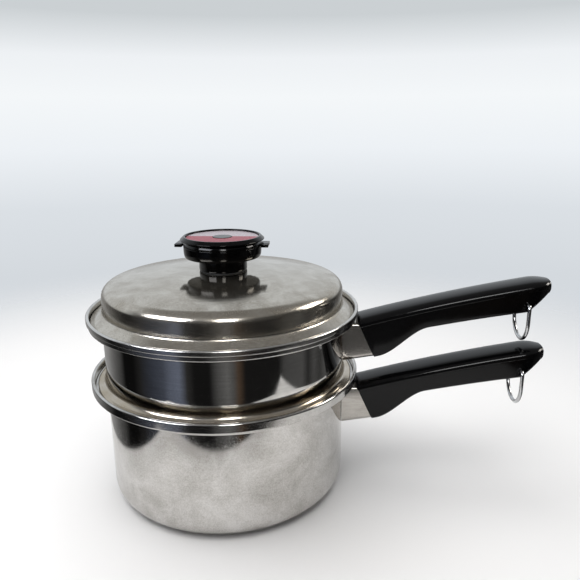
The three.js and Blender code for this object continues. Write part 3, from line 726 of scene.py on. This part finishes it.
def grip(name, datum):
    """Phenolic grip drawn out section by section, softened at its tip and cut to the bracket's slant."""
    stations = grip_stations()
    half = grip_section(stations[0])
    section = half + [(-y, z) for y, z in half[-2:0:-1]]
    points = [place(WALL_RADIUS + stations[0], y, datum + z) for y, z in section + section[:1]]
    piece = start_point(name, points[0])
    draw_line(points)
    merge_all()
    for before, after in zip(stations, stations[1:]):
        draw_grip_on(piece, datum, before, after)
    end = stations[-1]
    middle = place(WALL_RADIUS + end, 0, datum + (grip_top(end) + grip_bottom(end)) / 2)
    size = min(grip_half(end), (grip_top(end) - grip_bottom(end)) / 2)
    turned_before = 0
    steps = 5
    for i in range(1, steps + 1):
        turned = math.radians(90 * i / steps)
        ahead = NOSE_SOFT * (math.sin(turned) - math.sin(turned_before))
        wide = size - NOSE_SOFT * (1 - math.cos(turned))
        wide_before = size - NOSE_SOFT * (1 - math.cos(turned_before))
        extrude(place(ahead, 0, 0))
        bpy.ops.transform.resize(value=(1, wide / wide_before, wide / wide_before), center_override=middle)
        turned_before = turned
    bpy.ops.mesh.edge_face_add()
    bpy.ops.mesh.select_all(action="SELECT")
    root = place(WALL_RADIUS + BRACKET_REACH + FIT_GAP, 0, datum)
    bpy.ops.mesh.bisect(plane_co=root, plane_no=(1, 0, LEAN), use_fill=True, clear_inner=True)
    close_mesh()
    return piece


def bore_grip(piece, datum, pivot):
    """Bores the grip for its screw and for the ring's two ends."""
    x = WALL_RADIUS + SCREW_REACH
    low = datum + grip_bottom(SCREW_REACH)
    work(piece, drills(SCREW_RECESS, low - BOTTOM_ROUND, low + SCREW_RECESS_DEPTH, [(x, 0)], SMALL_STEPS))
    for side in (-1, 1):
        near = side * (RING_END - FIT_GAP)
        far = side * GRIP_WIDTH
        middle = (pivot.x, (near + far) / 2, pivot.z)
        rod(WIRE / 2 + PIVOT_GAP, abs(far - near), middle, SMALL_STEPS, math.pi / 2)
        settle()
        work(piece, name_new("bore"))
    return piece


def bracket(name, datum):
    """Folded stainless bracket from the pan's wall to the grip's slanted root."""
    foot = BRACKET_TOP + BRACKET_DEPTH
    fall = slope(BRACKET_FOOT_SLOPE)
    start = -2 * SHEET
    near = BRACKET_REACH + BRACKET_TOP * LEAN
    far = BRACKET_REACH + foot * LEAN
    low_end = -foot - (far - start) * fall
    outline = [(start, -BRACKET_TOP), (near, -BRACKET_TOP), (far, -foot), (start, low_end)]
    half = BRACKET_WIDTH / 2
    points = [place(WALL_RADIUS + x, -half, datum + z) for x, z in outline + outline[:1]]
    piece = start_point(name, points[0])
    draw_line(points)
    merge_all()
    bpy.ops.mesh.edge_face_add()
    extrude(place(0, BRACKET_WIDTH, 0))
    middle = datum - foot / 2
    for side in (-1, 1):
        pick(piece, lambda p: p.y * side > 0 and p.z < middle)
        bpy.ops.mesh.bevel(offset=LOWER_FOLD * MM, segments=8, affect="EDGES")
        pick(piece, lambda p: p.y * side > 0 and p.z > datum - BRACKET_TOP - TOUCH)
        bpy.ops.mesh.bevel(offset=UPPER_FOLD * MM, segments=6, affect="EDGES")
    close_mesh()
    rod(WALL_RADIUS + FIT_GAP, 4 * foot, (0, 0, datum - foot), 2 * PAN_STEPS)
    settle()
    return work(piece, name_new("wall_cut"))


def hang_ring(name, pivot):
    """Round wire bent to a U, with its ends turned in to the grip."""
    bpy.ops.object.select_all(action="DESELECT")
    bpy.ops.mesh.primitive_circle_add(
        vertices=WIRE_SIDES,
        radius=WIRE / 2 * MM,
        location=place(pivot.x, RING_END, pivot.z),
        rotation=(math.pi / 2, 0, 0),
    )
    piece = name_new(name)
    settle()
    open_mesh()
    straight = RING_LEG - RING_BEND - RING_END
    leg = RING_DROP - RING_LEG - RING_BEND
    bend = RING_LEG - RING_BEND
    run_out = (
        ("line", (0, straight, 0)),
        ("bend", (bend, -RING_BEND), 90, BEND_STEPS),
        ("line", (0, 0, -leg)),
        ("bend", (0, RING_LEG - RING_DROP), 180, BOW_STEPS),
        ("line", (0, 0, leg)),
        ("bend", (-bend, -RING_BEND), 90, BEND_STEPS),
        ("line", (0, straight, 0)),
    )
    for kind, where, *amount in run_out:
        if kind == "line":
            extrude(place(*where))
        else:
            centre = place(pivot.x, where[0], pivot.z + where[1])
            angle, steps = amount
            bpy.ops.mesh.spin(steps=steps, angle=math.radians(angle), center=centre, axis=(1, 0, 0))
    for side in (-1, 1):
        pick(piece, lambda p: abs(p.y - side * RING_END) < TOUCH and abs(p.z - pivot.z) < WIRE)
        bpy.ops.mesh.edge_face_add()
    close_mesh()
    return piece


# Materials.


def linear(code):
    """Linear colour from an sRGB hex value."""
    shares = [int(code[i : i + 2], 16) / 255 for i in (1, 3, 5)]
    return (*[s / 12.92 if s <= 0.04045 else ((s + 0.055) / 1.055) ** 2.4 for s in shares], 1)


def grey(level, red=1, green=1, blue=1):
    """A linear grey, or one leaning to a colour."""
    return (level * red, level * green, level * blue, 1)


def feed(tree, made, inputs):
    """Sets a node's inputs: each is a value, a socket, or a node whose first output in use is linked."""
    for key, value in inputs.items():
        if isinstance(value, bpy.types.Node):
            value = next(socket for socket in value.outputs if socket.enabled)
        if isinstance(value, bpy.types.NodeSocket):
            tree.links.new(value, made.inputs[key])
        else:
            made.inputs[key].default_value = value


def node(tree, kind, inputs, stops=(), **settings):
    """Adds a shader node with its settings, its inputs and the stops of its ramp.

    Inputs that share a name go by number: a Mix has its share at 0 and its two colours at 6 and 7, and a
    MapRange its value at 0, the limits of that at 1 and 2 and what they become, or 0 and 1, at 3 and 4.
    """
    made = tree.nodes.new("ShaderNode" + kind)
    for name, value in settings.items():
        setattr(made, name, value)
    feed(tree, made, inputs)
    for i, (position, colour) in enumerate(stops):
        element = made.color_ramp.elements[i] if i < 2 else made.color_ramp.elements.new(position)
        element.position = position
        element.color = colour
    return made


def per_mm(size):
    """Texture scale that gives a pattern of a size in millimetres."""
    return 1 / (size * MM)


# Settings that several nodes share.
COLOURS = {"data_type": "RGBA"}
EASED = {"interpolation_type": "SMOOTHSTEP"}


def start_material(name):
    """A new material: itself, its node tree, its shader and the object's coordinates."""
    material = bpy.data.materials.new(name)
    material.use_nodes = True
    tree = material.node_tree
    shader = tree.nodes["Principled BSDF"]
    coords = node(tree, "TexCoord", {}).outputs["Object"]
    return material, tree, shader, coords


def stainless(name, colours, blotch, streak, shares, gloss, relief, dull, veil=0, tint=None, radial=False):
    """Stainless sheet: clouds of wear, rubbed lines round the pan, grit marks and waves in what it mirrors.

    colours are its dull and clean greys, blotch the width of a cloud and streak the height of a line in
    millimetres, and shares how much clouds, lines and grit each count. gloss is how roughness goes with the
    height, or if radial with the distance from the axis: places in millimetres with their roughness. relief
    is the depth of the waves in millimetres, dull the roughness that grit marks add, veil the share of light
    that fine scratches scatter, and tint the heights between which heat coloured it.
    """
    material, tree, shader, coords = start_material(name)
    cloud = node(
        tree,
        "TexNoise",
        {"Vector": coords, "Scale": per_mm(blotch), "Detail": 6, "Roughness": 0.62, "Distortion": 0.5},
    )
    flat = node(tree, "Mapping", {"Vector": coords, "Scale": (0.05, 0.05, 1)})
    lines = node(tree, "TexNoise", {"Vector": flat, "Scale": per_mm(streak), "Detail": 4, "Roughness": 0.6})
    grit = node(tree, "TexNoise", {"Vector": coords, "Scale": per_mm(GRIT), "Detail": 4, "Roughness": 0.75})
    wear = node(tree, "Math", {0: cloud, 1: shares[0]}, operation="MULTIPLY")
    wear = node(tree, "Math", {0: lines, 1: shares[1], 2: wear}, operation="MULTIPLY_ADD")
    wear = node(tree, "Math", {0: grit, 1: shares[2], 2: wear}, operation="MULTIPLY_ADD")
    clean = node(tree, "MapRange", {0: wear, 1: 0.4, 2: 0.6})
    colour = node(tree, "Mix", {0: clean, 6: linear(colours[0]), 7: linear(colours[1])}, **COLOURS)
    up = node(tree, "SeparateXYZ", {0: coords}).outputs[2]
    if tint:
        edge = node(tree, "Math", {0: cloud, 1: HEAT_EDGE * MM, 2: up}, operation="MULTIPLY_ADD")
        limits = {1: tint[1] * MM, 2: tint[0] * MM, 3: 0, 4: HEAT_SHARE}
        heat = node(tree, "MapRange", {0: edge, **limits}, **EASED)
        colour = node(tree, "Mix", {0: heat, 6: colour, 7: linear(HEAT_TINT)}, **COLOURS)
    level = node(tree, "VectorMath", {0: coords, 1: (1, 1, 0)}, operation="MULTIPLY")
    radius = node(tree, "VectorMath", {0: level}, operation="LENGTH")
    along = radius if radial else up
    share = node(tree, "MapRange", {0: along, 1: 0, 2: GLOSS_SPAN * MM})
    stops = [(place_mm / GLOSS_SPAN, grey(rough)) for place_mm, rough in gloss]
    finish = node(tree, "ValToRGB", {0: share}, stops=stops)
    worn = node(tree, "MapRange", {0: wear, 1: 0.4, 2: 0.6, 3: 1.4, 4: 0.7})
    marks = node(tree, "MapRange", {0: grit, 1: 0.5, 2: 0.66, 3: 0, 4: dull})
    rough = node(tree, "Math", {0: finish, 1: worn, 2: marks}, operation="MULTIPLY_ADD")
    wave = node(tree, "TexNoise", {"Vector": coords, "Scale": per_mm(WAVE), "Detail": 1})
    waves = node(tree, "Bump", {"Height": wave, "Distance": relief * MM, "Strength": 1})
    bump = node(tree, "Bump", {"Height": wear, "Distance": 0.01 * MM, "Strength": 0.25, "Normal": waves})
    feed(tree, shader, {"Base Color": colour, "Roughness": rough, "Normal": bump, "Metallic": 1 - veil})
    return material


def phenolic_moulding():
    """Black phenolic resin, compression moulded: near-black and glossy, dulled in patches by hands."""
    material, tree, shader, coords = start_material("phenolic_moulding")
    haze = node(tree, "TexNoise", {"Vector": coords, "Scale": per_mm(HAZE), "Detail": 5, "Roughness": 0.65})
    specks = node(tree, "TexNoise", {"Vector": coords, "Scale": per_mm(SPECK), "Detail": 2})
    rough = node(tree, "MapRange", {0: haze, 1: 0.35, 2: 0.7, 3: 0.07, 4: 0.16})
    share = node(tree, "MapRange", {0: specks, 1: 0.45, 2: 0.75})
    colour = node(tree, "Mix", {0: share, 6: linear("#060607"), 7: linear("#0d0d0e")}, **COLOURS)
    bump = node(tree, "Bump", {"Height": specks, "Distance": 0.008 * MM, "Strength": 0.4})
    feed(tree, shader, {"Base Color": colour, "Roughness": rough, "Normal": bump})
    feed(tree, shader, {"IOR": 1.58, "Specular IOR Level": 0.18})
    return material


def two_tone_foil():
    """Metal foil under clear lacquer, its near half red and its far half silver, finely embossed."""
    material, tree, shader, coords = start_material("two_tone_foil")
    across = node(tree, "SeparateXYZ", {0: coords}).outputs[1]
    fleck = node(tree, "TexNoise", {"Vector": coords, "Scale": per_mm(FLECK), "Detail": 3, "Roughness": 0.7})
    half = node(tree, "MapRange", {0: across, 1: FOIL_DIVIDE[0] * MM, 2: FOIL_DIVIDE[1] * MM})
    share = node(tree, "MapRange", {0: fleck, 1: 0.35, 2: 0.75})
    red = node(tree, "Mix", {0: share, 6: linear("#8e1f33"), 7: linear("#c46a78")}, **COLOURS)
    silver = node(tree, "Mix", {0: share, 6: linear("#b9a9b0"), 7: linear("#d6d3d8")}, **COLOURS)
    colour = node(tree, "Mix", {0: half, 6: red, 7: silver}, **COLOURS)
    bump = node(tree, "Bump", {"Height": fleck, "Distance": 0.05 * MM, "Strength": 0.7})
    feed(tree, shader, {"Base Color": colour, "Normal": bump, "Metallic": 0.6, "Roughness": 0.38})
    return material


def small_part(name, colours, metallic, gloss, grain):
    """A small fitting: two close colours and an uneven gloss in a grain of a size in millimetres."""
    material, tree, shader, coords = start_material(name)
    cloud = node(tree, "TexNoise", {"Vector": coords, "Scale": per_mm(grain), "Detail": 4})
    share = node(tree, "MapRange", {0: cloud, 1: 0.35, 2: 0.65})
    colour = node(tree, "Mix", {0: share, 6: linear(colours[0]), 7: linear(colours[1])}, **COLOURS)
    rough = node(tree, "MapRange", {0: cloud, 1: 0.35, 2: 0.65, 3: gloss[0], 4: gloss[1]})
    bump = node(tree, "Bump", {"Height": cloud, "Distance": 0.01 * MM, "Strength": 0.5})
    feed(tree, shader, {"Base Color": colour, "Roughness": rough, "Normal": bump, "Metallic": metallic})
    return material


# Roughness of the lid by radius: a mirror round the knob, a satin shoulder, a clear wall, a bend and a brim.
LID_GLOSS = (
    (0, 0.045), (38, 0.05), (60, 0.12), (79, 0.22), (85, 0.18),
    (85.5, 0.1), (86.3, 0.32), (87.5, 0.18), (92.5, 0.16),
)
FINISHES = {
    # Drawn stainless dulled by years of scouring: a cloudy, streaked and speckled mirror.
    "saucepan_steel": stainless(
        "scoured_stainless",
        ("#aba8a3", "#d5d3d0"),
        blotch=30,
        streak=0.9,
        shares=(0.52, 0.06, 0.42),
        gloss=((0, 0.16), (40, 0.1), (56, 0.06), (80, 0.06), (84, 0.12), (91, 0.12)),
        relief=0.03,
        dull=0.1,
    ),
    # Polished stainless: a clear mirror between satin rims, with straw-coloured heat tint above its seat.
    "steamer_steel": stainless(
        "polished_stainless",
        ("#c2c0bc", "#d6d4d1"),
        blotch=24,
        streak=1,
        shares=(0.5, 0.3, 0.2),
        gloss=((85, 0.2), (91, 0.14), (94, 0.06), (125, 0.05), (128, 0.16), (138, 0.2)),
        relief=0.015,
        dull=0.02,
        tint=(90, 103),
    ),
    # Polished stainless rubbed by washing and stacking: a scuffed mirror, satin from the shoulder outwards.
    "lid_steel": stainless(
        "rubbed_stainless",
        ("#aea79b", "#cdc8be"),
        blotch=15,
        streak=1.2,
        shares=(0.55, 0.05, 0.4),
        gloss=LID_GLOSS,
        relief=0.02,
        dull=0.08,
        veil=0.035,
        radial=True,
    ),
    # Folded stainless strip with a satin finish: a soft sheen.
    "bracket_steel": stainless(
        "satin_stainless",
        ("#a19d97", "#bfbbb5"),
        blotch=16,
        streak=0.9,
        shares=(0.4, 0.3, 0.3),
        gloss=((0, 0.14), (140, 0.14)),
        relief=0.01,
        dull=0.1,
    ),
    # Drawn stainless wire: bright and smooth.
    "wire_steel": small_part("drawn_wire", ("#c6c7c8", "#d4d5d6"), metallic=1, gloss=(0.1, 0.18), grain=3),
    # Plain steel of screws, washers and tangs: a grey shine.
    "plain_steel": small_part(
        "plain_steel", ("#b5b4b2", "#c6c5c3"), metallic=1, gloss=(0.24, 0.36), grain=4
    ),
    "phenolic": phenolic_moulding(),
    # Dark silicone rubber: matte.
    "silicone": small_part("dark_silicone", ("#26282a", "#313436"), metallic=0, gloss=(0.55, 0.7), grain=2),
    # Machined brass of the threaded insert: a yellow shine.
    "brass": small_part("machined_brass", ("#b08d46", "#c4a25a"), metallic=1, gloss=(0.25, 0.38), grain=3),
    "red_foil": two_tone_foil(),
}


# Stage: floor, room, lamps and camera.

FLOOR_COLOUR = "#f4f4f5"
FLOOR_RADIUS = 1500
FLOOR_FADE = (300, 750)  # distances from the axis between which the floor goes over into the backdrop

# The white paper that metal mirrors, and how softly its edges end.
PAPER_MIDDLE = (57, -34, 0)
PAPER_HALF = (205, 163, 1)
PAPER_FADE = ((0.72, 0), (0.98, 0.22), (1, 0.3), (1.035, 1))  # how far gone, by shares of half its size


def pale_floor():
    """Plain white floor round the object that fades into the pale background."""
    bpy.ops.object.select_all(action="DESELECT")
    bpy.ops.mesh.primitive_circle_add(vertices=128, radius=FLOOR_RADIUS * MM, fill_type="NGON")
    floor = name_new("floor")
    material, tree, shader, coords = start_material("white_floor")
    feed(tree, shader, {"Base Color": linear(FLOOR_COLOUR), "Roughness": 0.8, "Specular IOR Level": 0.2})
    rays = node(tree, "LightPath", {})
    distance = node(tree, "VectorMath", {0: coords}, operation="LENGTH")
    start, end = FLOOR_FADE
    seen = node(tree, "MapRange", {0: distance, 1: start * MM, 2: end * MM}, **EASED)
    off = node(tree, "VectorMath", {0: coords, 1: place(*PAPER_MIDDLE)}, operation="SUBTRACT")
    share = node(tree, "VectorMath", {0: off, 1: place(*PAPER_HALF)}, operation="DIVIDE")
    share = node(tree, "VectorMath", {0: share}, operation="ABSOLUTE")
    parts = node(tree, "SeparateXYZ", {0: share})
    edge = node(tree, "Math", {0: parts.outputs[0], 1: parts.outputs[1]}, operation="MAXIMUM")
    halved = node(tree, "Math", {0: edge, 1: 0.5}, operation="MULTIPLY")
    gone = [(out / 2, grey(level)) for out, level in PAPER_FADE]
    mirrored = node(tree, "ValToRGB", {0: halved}, stops=gone)
    fade = node(tree, "Mix", {0: rays.outputs["Is Glossy Ray"], 2: seen, 3: mirrored})
    clear = node(tree, "BsdfTransparent", {})
    mixed = node(tree, "MixShader", {0: fade, 1: shader, 2: clear})
    feed(tree, tree.nodes["Material Output"], {"Surface": mixed})
    floor.data.materials.append(material)


# What stands round the object below the lid's height: bearing in degrees, with 0 on the camera's side and
# positive to the right, then how bright it is and to which colour it leans.
BLUISH = (0.85, 0.97, 1.3)
BROWNISH = (1.4, 0.95, 0.65)
ROOM_STRIPS = (
    (-180, 0.45), (-146, 0.35), (-130, 0.3), (-122, 0.21),
    (-113, 0.13), (-104, 0.07), (-97, 0.006), (-84, 0.006),
    (-76, 0.02), (-62, 0.05, *BLUISH), (-50, 0.08, *BLUISH), (-44, 0.14, *BLUISH),
    (-34, 0.18, *BLUISH), (-27, 0.035), (-20, 0.01), (-6, 0.01),
    (1, 0.085), (10, 0.15), (15, 0.1), (20, 0.06, *BROWNISH),
    (26, 0.012), (58, 0.012), (64, 0.07), (84, 0.09),
    (91, 0.03), (99, 0.085), (108, 0.05), (116, 0.1),
    (125, 0.035), (133, 0.01), (142, 0.1), (180, 0.45),
)

# The room by the sine of the elevation: where the strips end and the ceiling starts, in front and behind.
HORIZON = (-0.04, 0.1)
FRONT_CEILING = (0.35, 0.6)
BACK_CEILING = (0.62, 0.85)
ROOM_GREY = grey(0.05)
CEILING_GREY = grey(0.25)
BACK_COLOUR = "#dfe4e9"
BACK_WAY = (-0.42, 0.91, 0)  # towards the middle of the backdrop
BACK_EDGE = (0.1, 0.5)  # how softly its sides end, in cosines of the angle from its middle

# The backdrop as it is seen, by the sine of the elevation: palest at the height of the camera.
BACKDROP_SPAN = 0.25
BACKDROP = (
    (-0.22, "#d4d9de"),
    (-0.12, "#dbe0e5"),
    (-0.03, "#edf1f5"),
    (0.05, "#f4f7f9"),
    (0.11, "#eef1f4"),
    (0.17, "#cbd0d3"),
)


def room():
    """What the metal mirrors: a pale backdrop, a grey ceiling, and pale and dark strips in front."""
    world = bpy.data.worlds.new("room")
    bpy.context.scene.world = world
    world.use_nodes = True
    tree = world.node_tree
    tree.nodes.clear()
    way = node(tree, "TexCoord", {}).outputs["Generated"]
    across, along, up = node(tree, "SeparateXYZ", {0: way}).outputs
    ahead = node(tree, "Math", {0: along, 1: -1}, operation="MULTIPLY")
    bearing = node(tree, "Math", {0: across, 1: ahead}, operation="ARCTAN2")
    turned = node(tree, "MapRange", {0: bearing, 1: -math.pi, 2: math.pi})
    stops = [(0.5 + degrees / 360, grey(*shade)) for degrees, *shade in ROOM_STRIPS]
    strips = node(tree, "ValToRGB", {0: turned}, stops=stops)
    high = node(tree, "MapRange", {0: up, 1: FRONT_CEILING[0], 2: FRONT_CEILING[1]}, **EASED)
    front = node(tree, "Mix", {0: high, 6: ROOM_GREY, 7: CEILING_GREY}, **COLOURS)
    top = node(tree, "MapRange", {0: up, 1: BACK_CEILING[0], 2: BACK_CEILING[1]}, **EASED)
    backdrop = node(tree, "Mix", {0: top, 6: linear(BACK_COLOUR), 7: CEILING_GREY}, **COLOURS)
    away = node(tree, "VectorMath", {0: way, 1: BACK_WAY}, operation="DOT_PRODUCT")
    back = node(tree, "MapRange", {0: away, 1: BACK_EDGE[0], 2: BACK_EDGE[1]}, **EASED)
    upper = node(tree, "Mix", {0: back, 6: front, 7: backdrop}, **COLOURS)
    level = node(tree, "MapRange", {0: up, 1: HORIZON[0], 2: HORIZON[1]}, **EASED)
    mirrored = node(tree, "Mix", {0: level, 6: strips, 7: upper}, **COLOURS)
    height = node(tree, "MapRange", {0: up, 1: -BACKDROP_SPAN, 2: BACKDROP_SPAN})
    seen = [(0.5 + sine / BACKDROP_SPAN / 2, linear(colour)) for sine, colour in BACKDROP]
    behind = node(tree, "ValToRGB", {0: height}, stops=seen)
    rays = node(tree, "LightPath", {})
    shown = node(tree, "Mix", {0: rays.outputs["Is Camera Ray"], 6: mirrored, 7: behind}, **COLOURS)
    light = node(tree, "Background", {"Color": shown})
    node(tree, "OutputWorld", {"Surface": light})


# Lamps: bearing and elevation in degrees, distance, width and height in metres, power in watts and colour.
LAMP_AIM = (0, 0, 100)
LAMPS = {
    "overhead": (-60, 80, 1.5, 1.8, 1.6, 28.5, "#fffdfa"),
    "left_window": (-45, 27, 1.9, 1.2, 0.6, 26.7, "#f4f7ff"),
    "front_window": (11, 27, 1.9, 0.45, 0.6, 10, "#ffffff"),
    "right_window": (102, 27, 1.9, 0.7, 0.57, 14.9, "#fffaf3"),
}


def lamp(name, bearing, elevation, distance, width, height, power, colour):
    """A soft rectangular lamp at a bearing and elevation round the object, turned to its middle."""
    data = bpy.data.lights.new(name, "AREA")
    data.shape = "RECTANGLE"
    data.size = width
    data.size_y = height
    data.energy = power
    data.color = linear(colour)[:3]
    made = bpy.data.objects.new(name, data)
    bpy.context.scene.collection.objects.link(made)
    a = math.radians(bearing)
    e = math.radians(elevation)
    way = Vector((math.sin(a) * math.cos(e), -math.cos(a) * math.cos(e), math.sin(e)))
    made.location = place(*LAMP_AIM) + way * distance
    made.rotation_euler = (-way).to_track_quat("-Z", "Y").to_euler()
    made.visible_camera = False
    return made


# The photograph's viewpoint: from the front, a little to the right and above. Angles are in degrees.
CAMERA_PLACE = (71.1, -403.4, 259.3)
CAMERA_HEADING = 93.3  # from the handles' way
CAMERA_PITCH = 15.48  # downwards
CAMERA_ROLL = -0.317
SENSOR = 36
LENS = 36.06


def camera():
    """Sets the camera at the photograph's viewpoint."""
    data = bpy.data.cameras.new("camera")
    data.sensor_width = SENSOR
    data.lens = LENS
    data.clip_start = 0.01
    made = bpy.data.objects.new("camera", data)
    bpy.context.scene.collection.objects.link(made)
    heading = math.radians(CAMERA_HEADING)
    pitch = math.radians(CAMERA_PITCH)
    roll = math.radians(CAMERA_ROLL)
    level = math.cos(pitch)
    way = Vector((math.cos(heading) * level, math.sin(heading) * level, -math.sin(pitch)))
    made.location = place(*CAMERA_PLACE)
    made.rotation_mode = "QUATERNION"
    made.rotation_quaternion = way.to_track_quat("-Z", "Y") @ Quaternion((0, 0, 1), roll)
    bpy.context.scene.camera = made


bpy.context.scene.view_settings.view_transform = "Standard"
camera()
pale_floor()
room()
# The overhead lamp lights matte surfaces and isn't mirrored, and the windows are only mirrored.
for lamp_name, lamp_setup in LAMPS.items():
    made_lamp = lamp(lamp_name, *lamp_setup)
    made_lamp.visible_glossy = lamp_name != "overhead"
    made_lamp.visible_diffuse = lamp_name == "overhead"


# Dressing the frame.

SLOTS = {entry["node"]: entry["material_slot"] for entry in frame["record"]["subparts"]}


def dress(piece, body, part):
    """Gives a piece its body and the finish of its node's slot, and hides the node that it stands for."""
    slot = SLOTS[part]
    piece.data.materials.clear()
    piece.data.materials.append(FINISHES[slot])
    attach(piece, body)
    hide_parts(part)


for part_name, part_object in frame["nodes"].items():
    for material_slot in part_object.material_slots:
        material_slot.material = FINISHES[SLOTS[part_name]]

pivot_low = next(Vector(j["pos_m"]) / MM for j in frame["joints"] if j["child"] == "saucepan_ring")
datum_low = corners("saucepan_handle_bracket")[1].z + BRACKET_TOP
datum_high = corners("steamer_handle_bracket")[1].z + BRACKET_TOP

# The saucepan's handle pieces, each with the end of its node's name. The steamer has a copy of each.
HANDLE_PIECES = (
    (bore_grip(grip("saucepan_grip_moulding", datum_low), datum_low, pivot_low), "handle_grip"),
    (bracket("saucepan_bracket_fold", datum_low), "handle_bracket"),
    (hang_ring("saucepan_bail_wire", pivot_low), "hang_ring"),
    (slotted_screw("saucepan_slotted_screw", "saucepan_grip_screw", *GRIP_SCREW), "grip_screw"),
    (plain_ring("saucepan_stamped_washer", "saucepan_grip_washer", *GRIP_WASHER), "grip_washer"),
)

dress(saucepan(), "saucepan", "saucepan_body")
dress(steamer(), "steamer", "steamer_body")
dress(lid(), "lid", "lid_shell")
for lower, part_end in HANDLE_PIECES:
    upper = copy_up(lower, lower.name.replace("saucepan", "steamer"), datum_high - datum_low)
    for made_piece, pan in ((upper, "steamer"), (lower, "saucepan")):
        rides = pan + "_ring" if part_end == "hang_ring" else pan
        dress(made_piece, rides, pan + "_" + part_end)
dress(knob_foot(), "lid", "knob_pedestal")
dress(knob_cup(), "lid", "knob_barrel")
dress(vent_valve(), "vent", "vent_ring")
dress(knob_top(), "lid", "knob_cap")
plug_hole = corners("knob_screw_cover")[1].x + FIT_GAP
dress(plain_ring("knob_disc", "knob_medallion", plug_hole, DISC_ROUND, KNOB_STEPS), "lid", "knob_medallion")
dress(plain_ring("knob_plug", "knob_screw_cover", 0, PLUG_ROUND, KNOB_STEPS), "lid", "knob_screw_cover")
dress(plain_ring("knob_rubber_ring", "knob_gasket", *GASKET), "lid", "knob_gasket")
dress(plain_ring("knob_stamped_washer", "knob_washer", *KNOB_WASHER), "lid", "knob_washer")
dress(slotted_screw("knob_slotted_screw", "knob_lid_screw", *LID_SCREW), "lid", "knob_lid_screw")
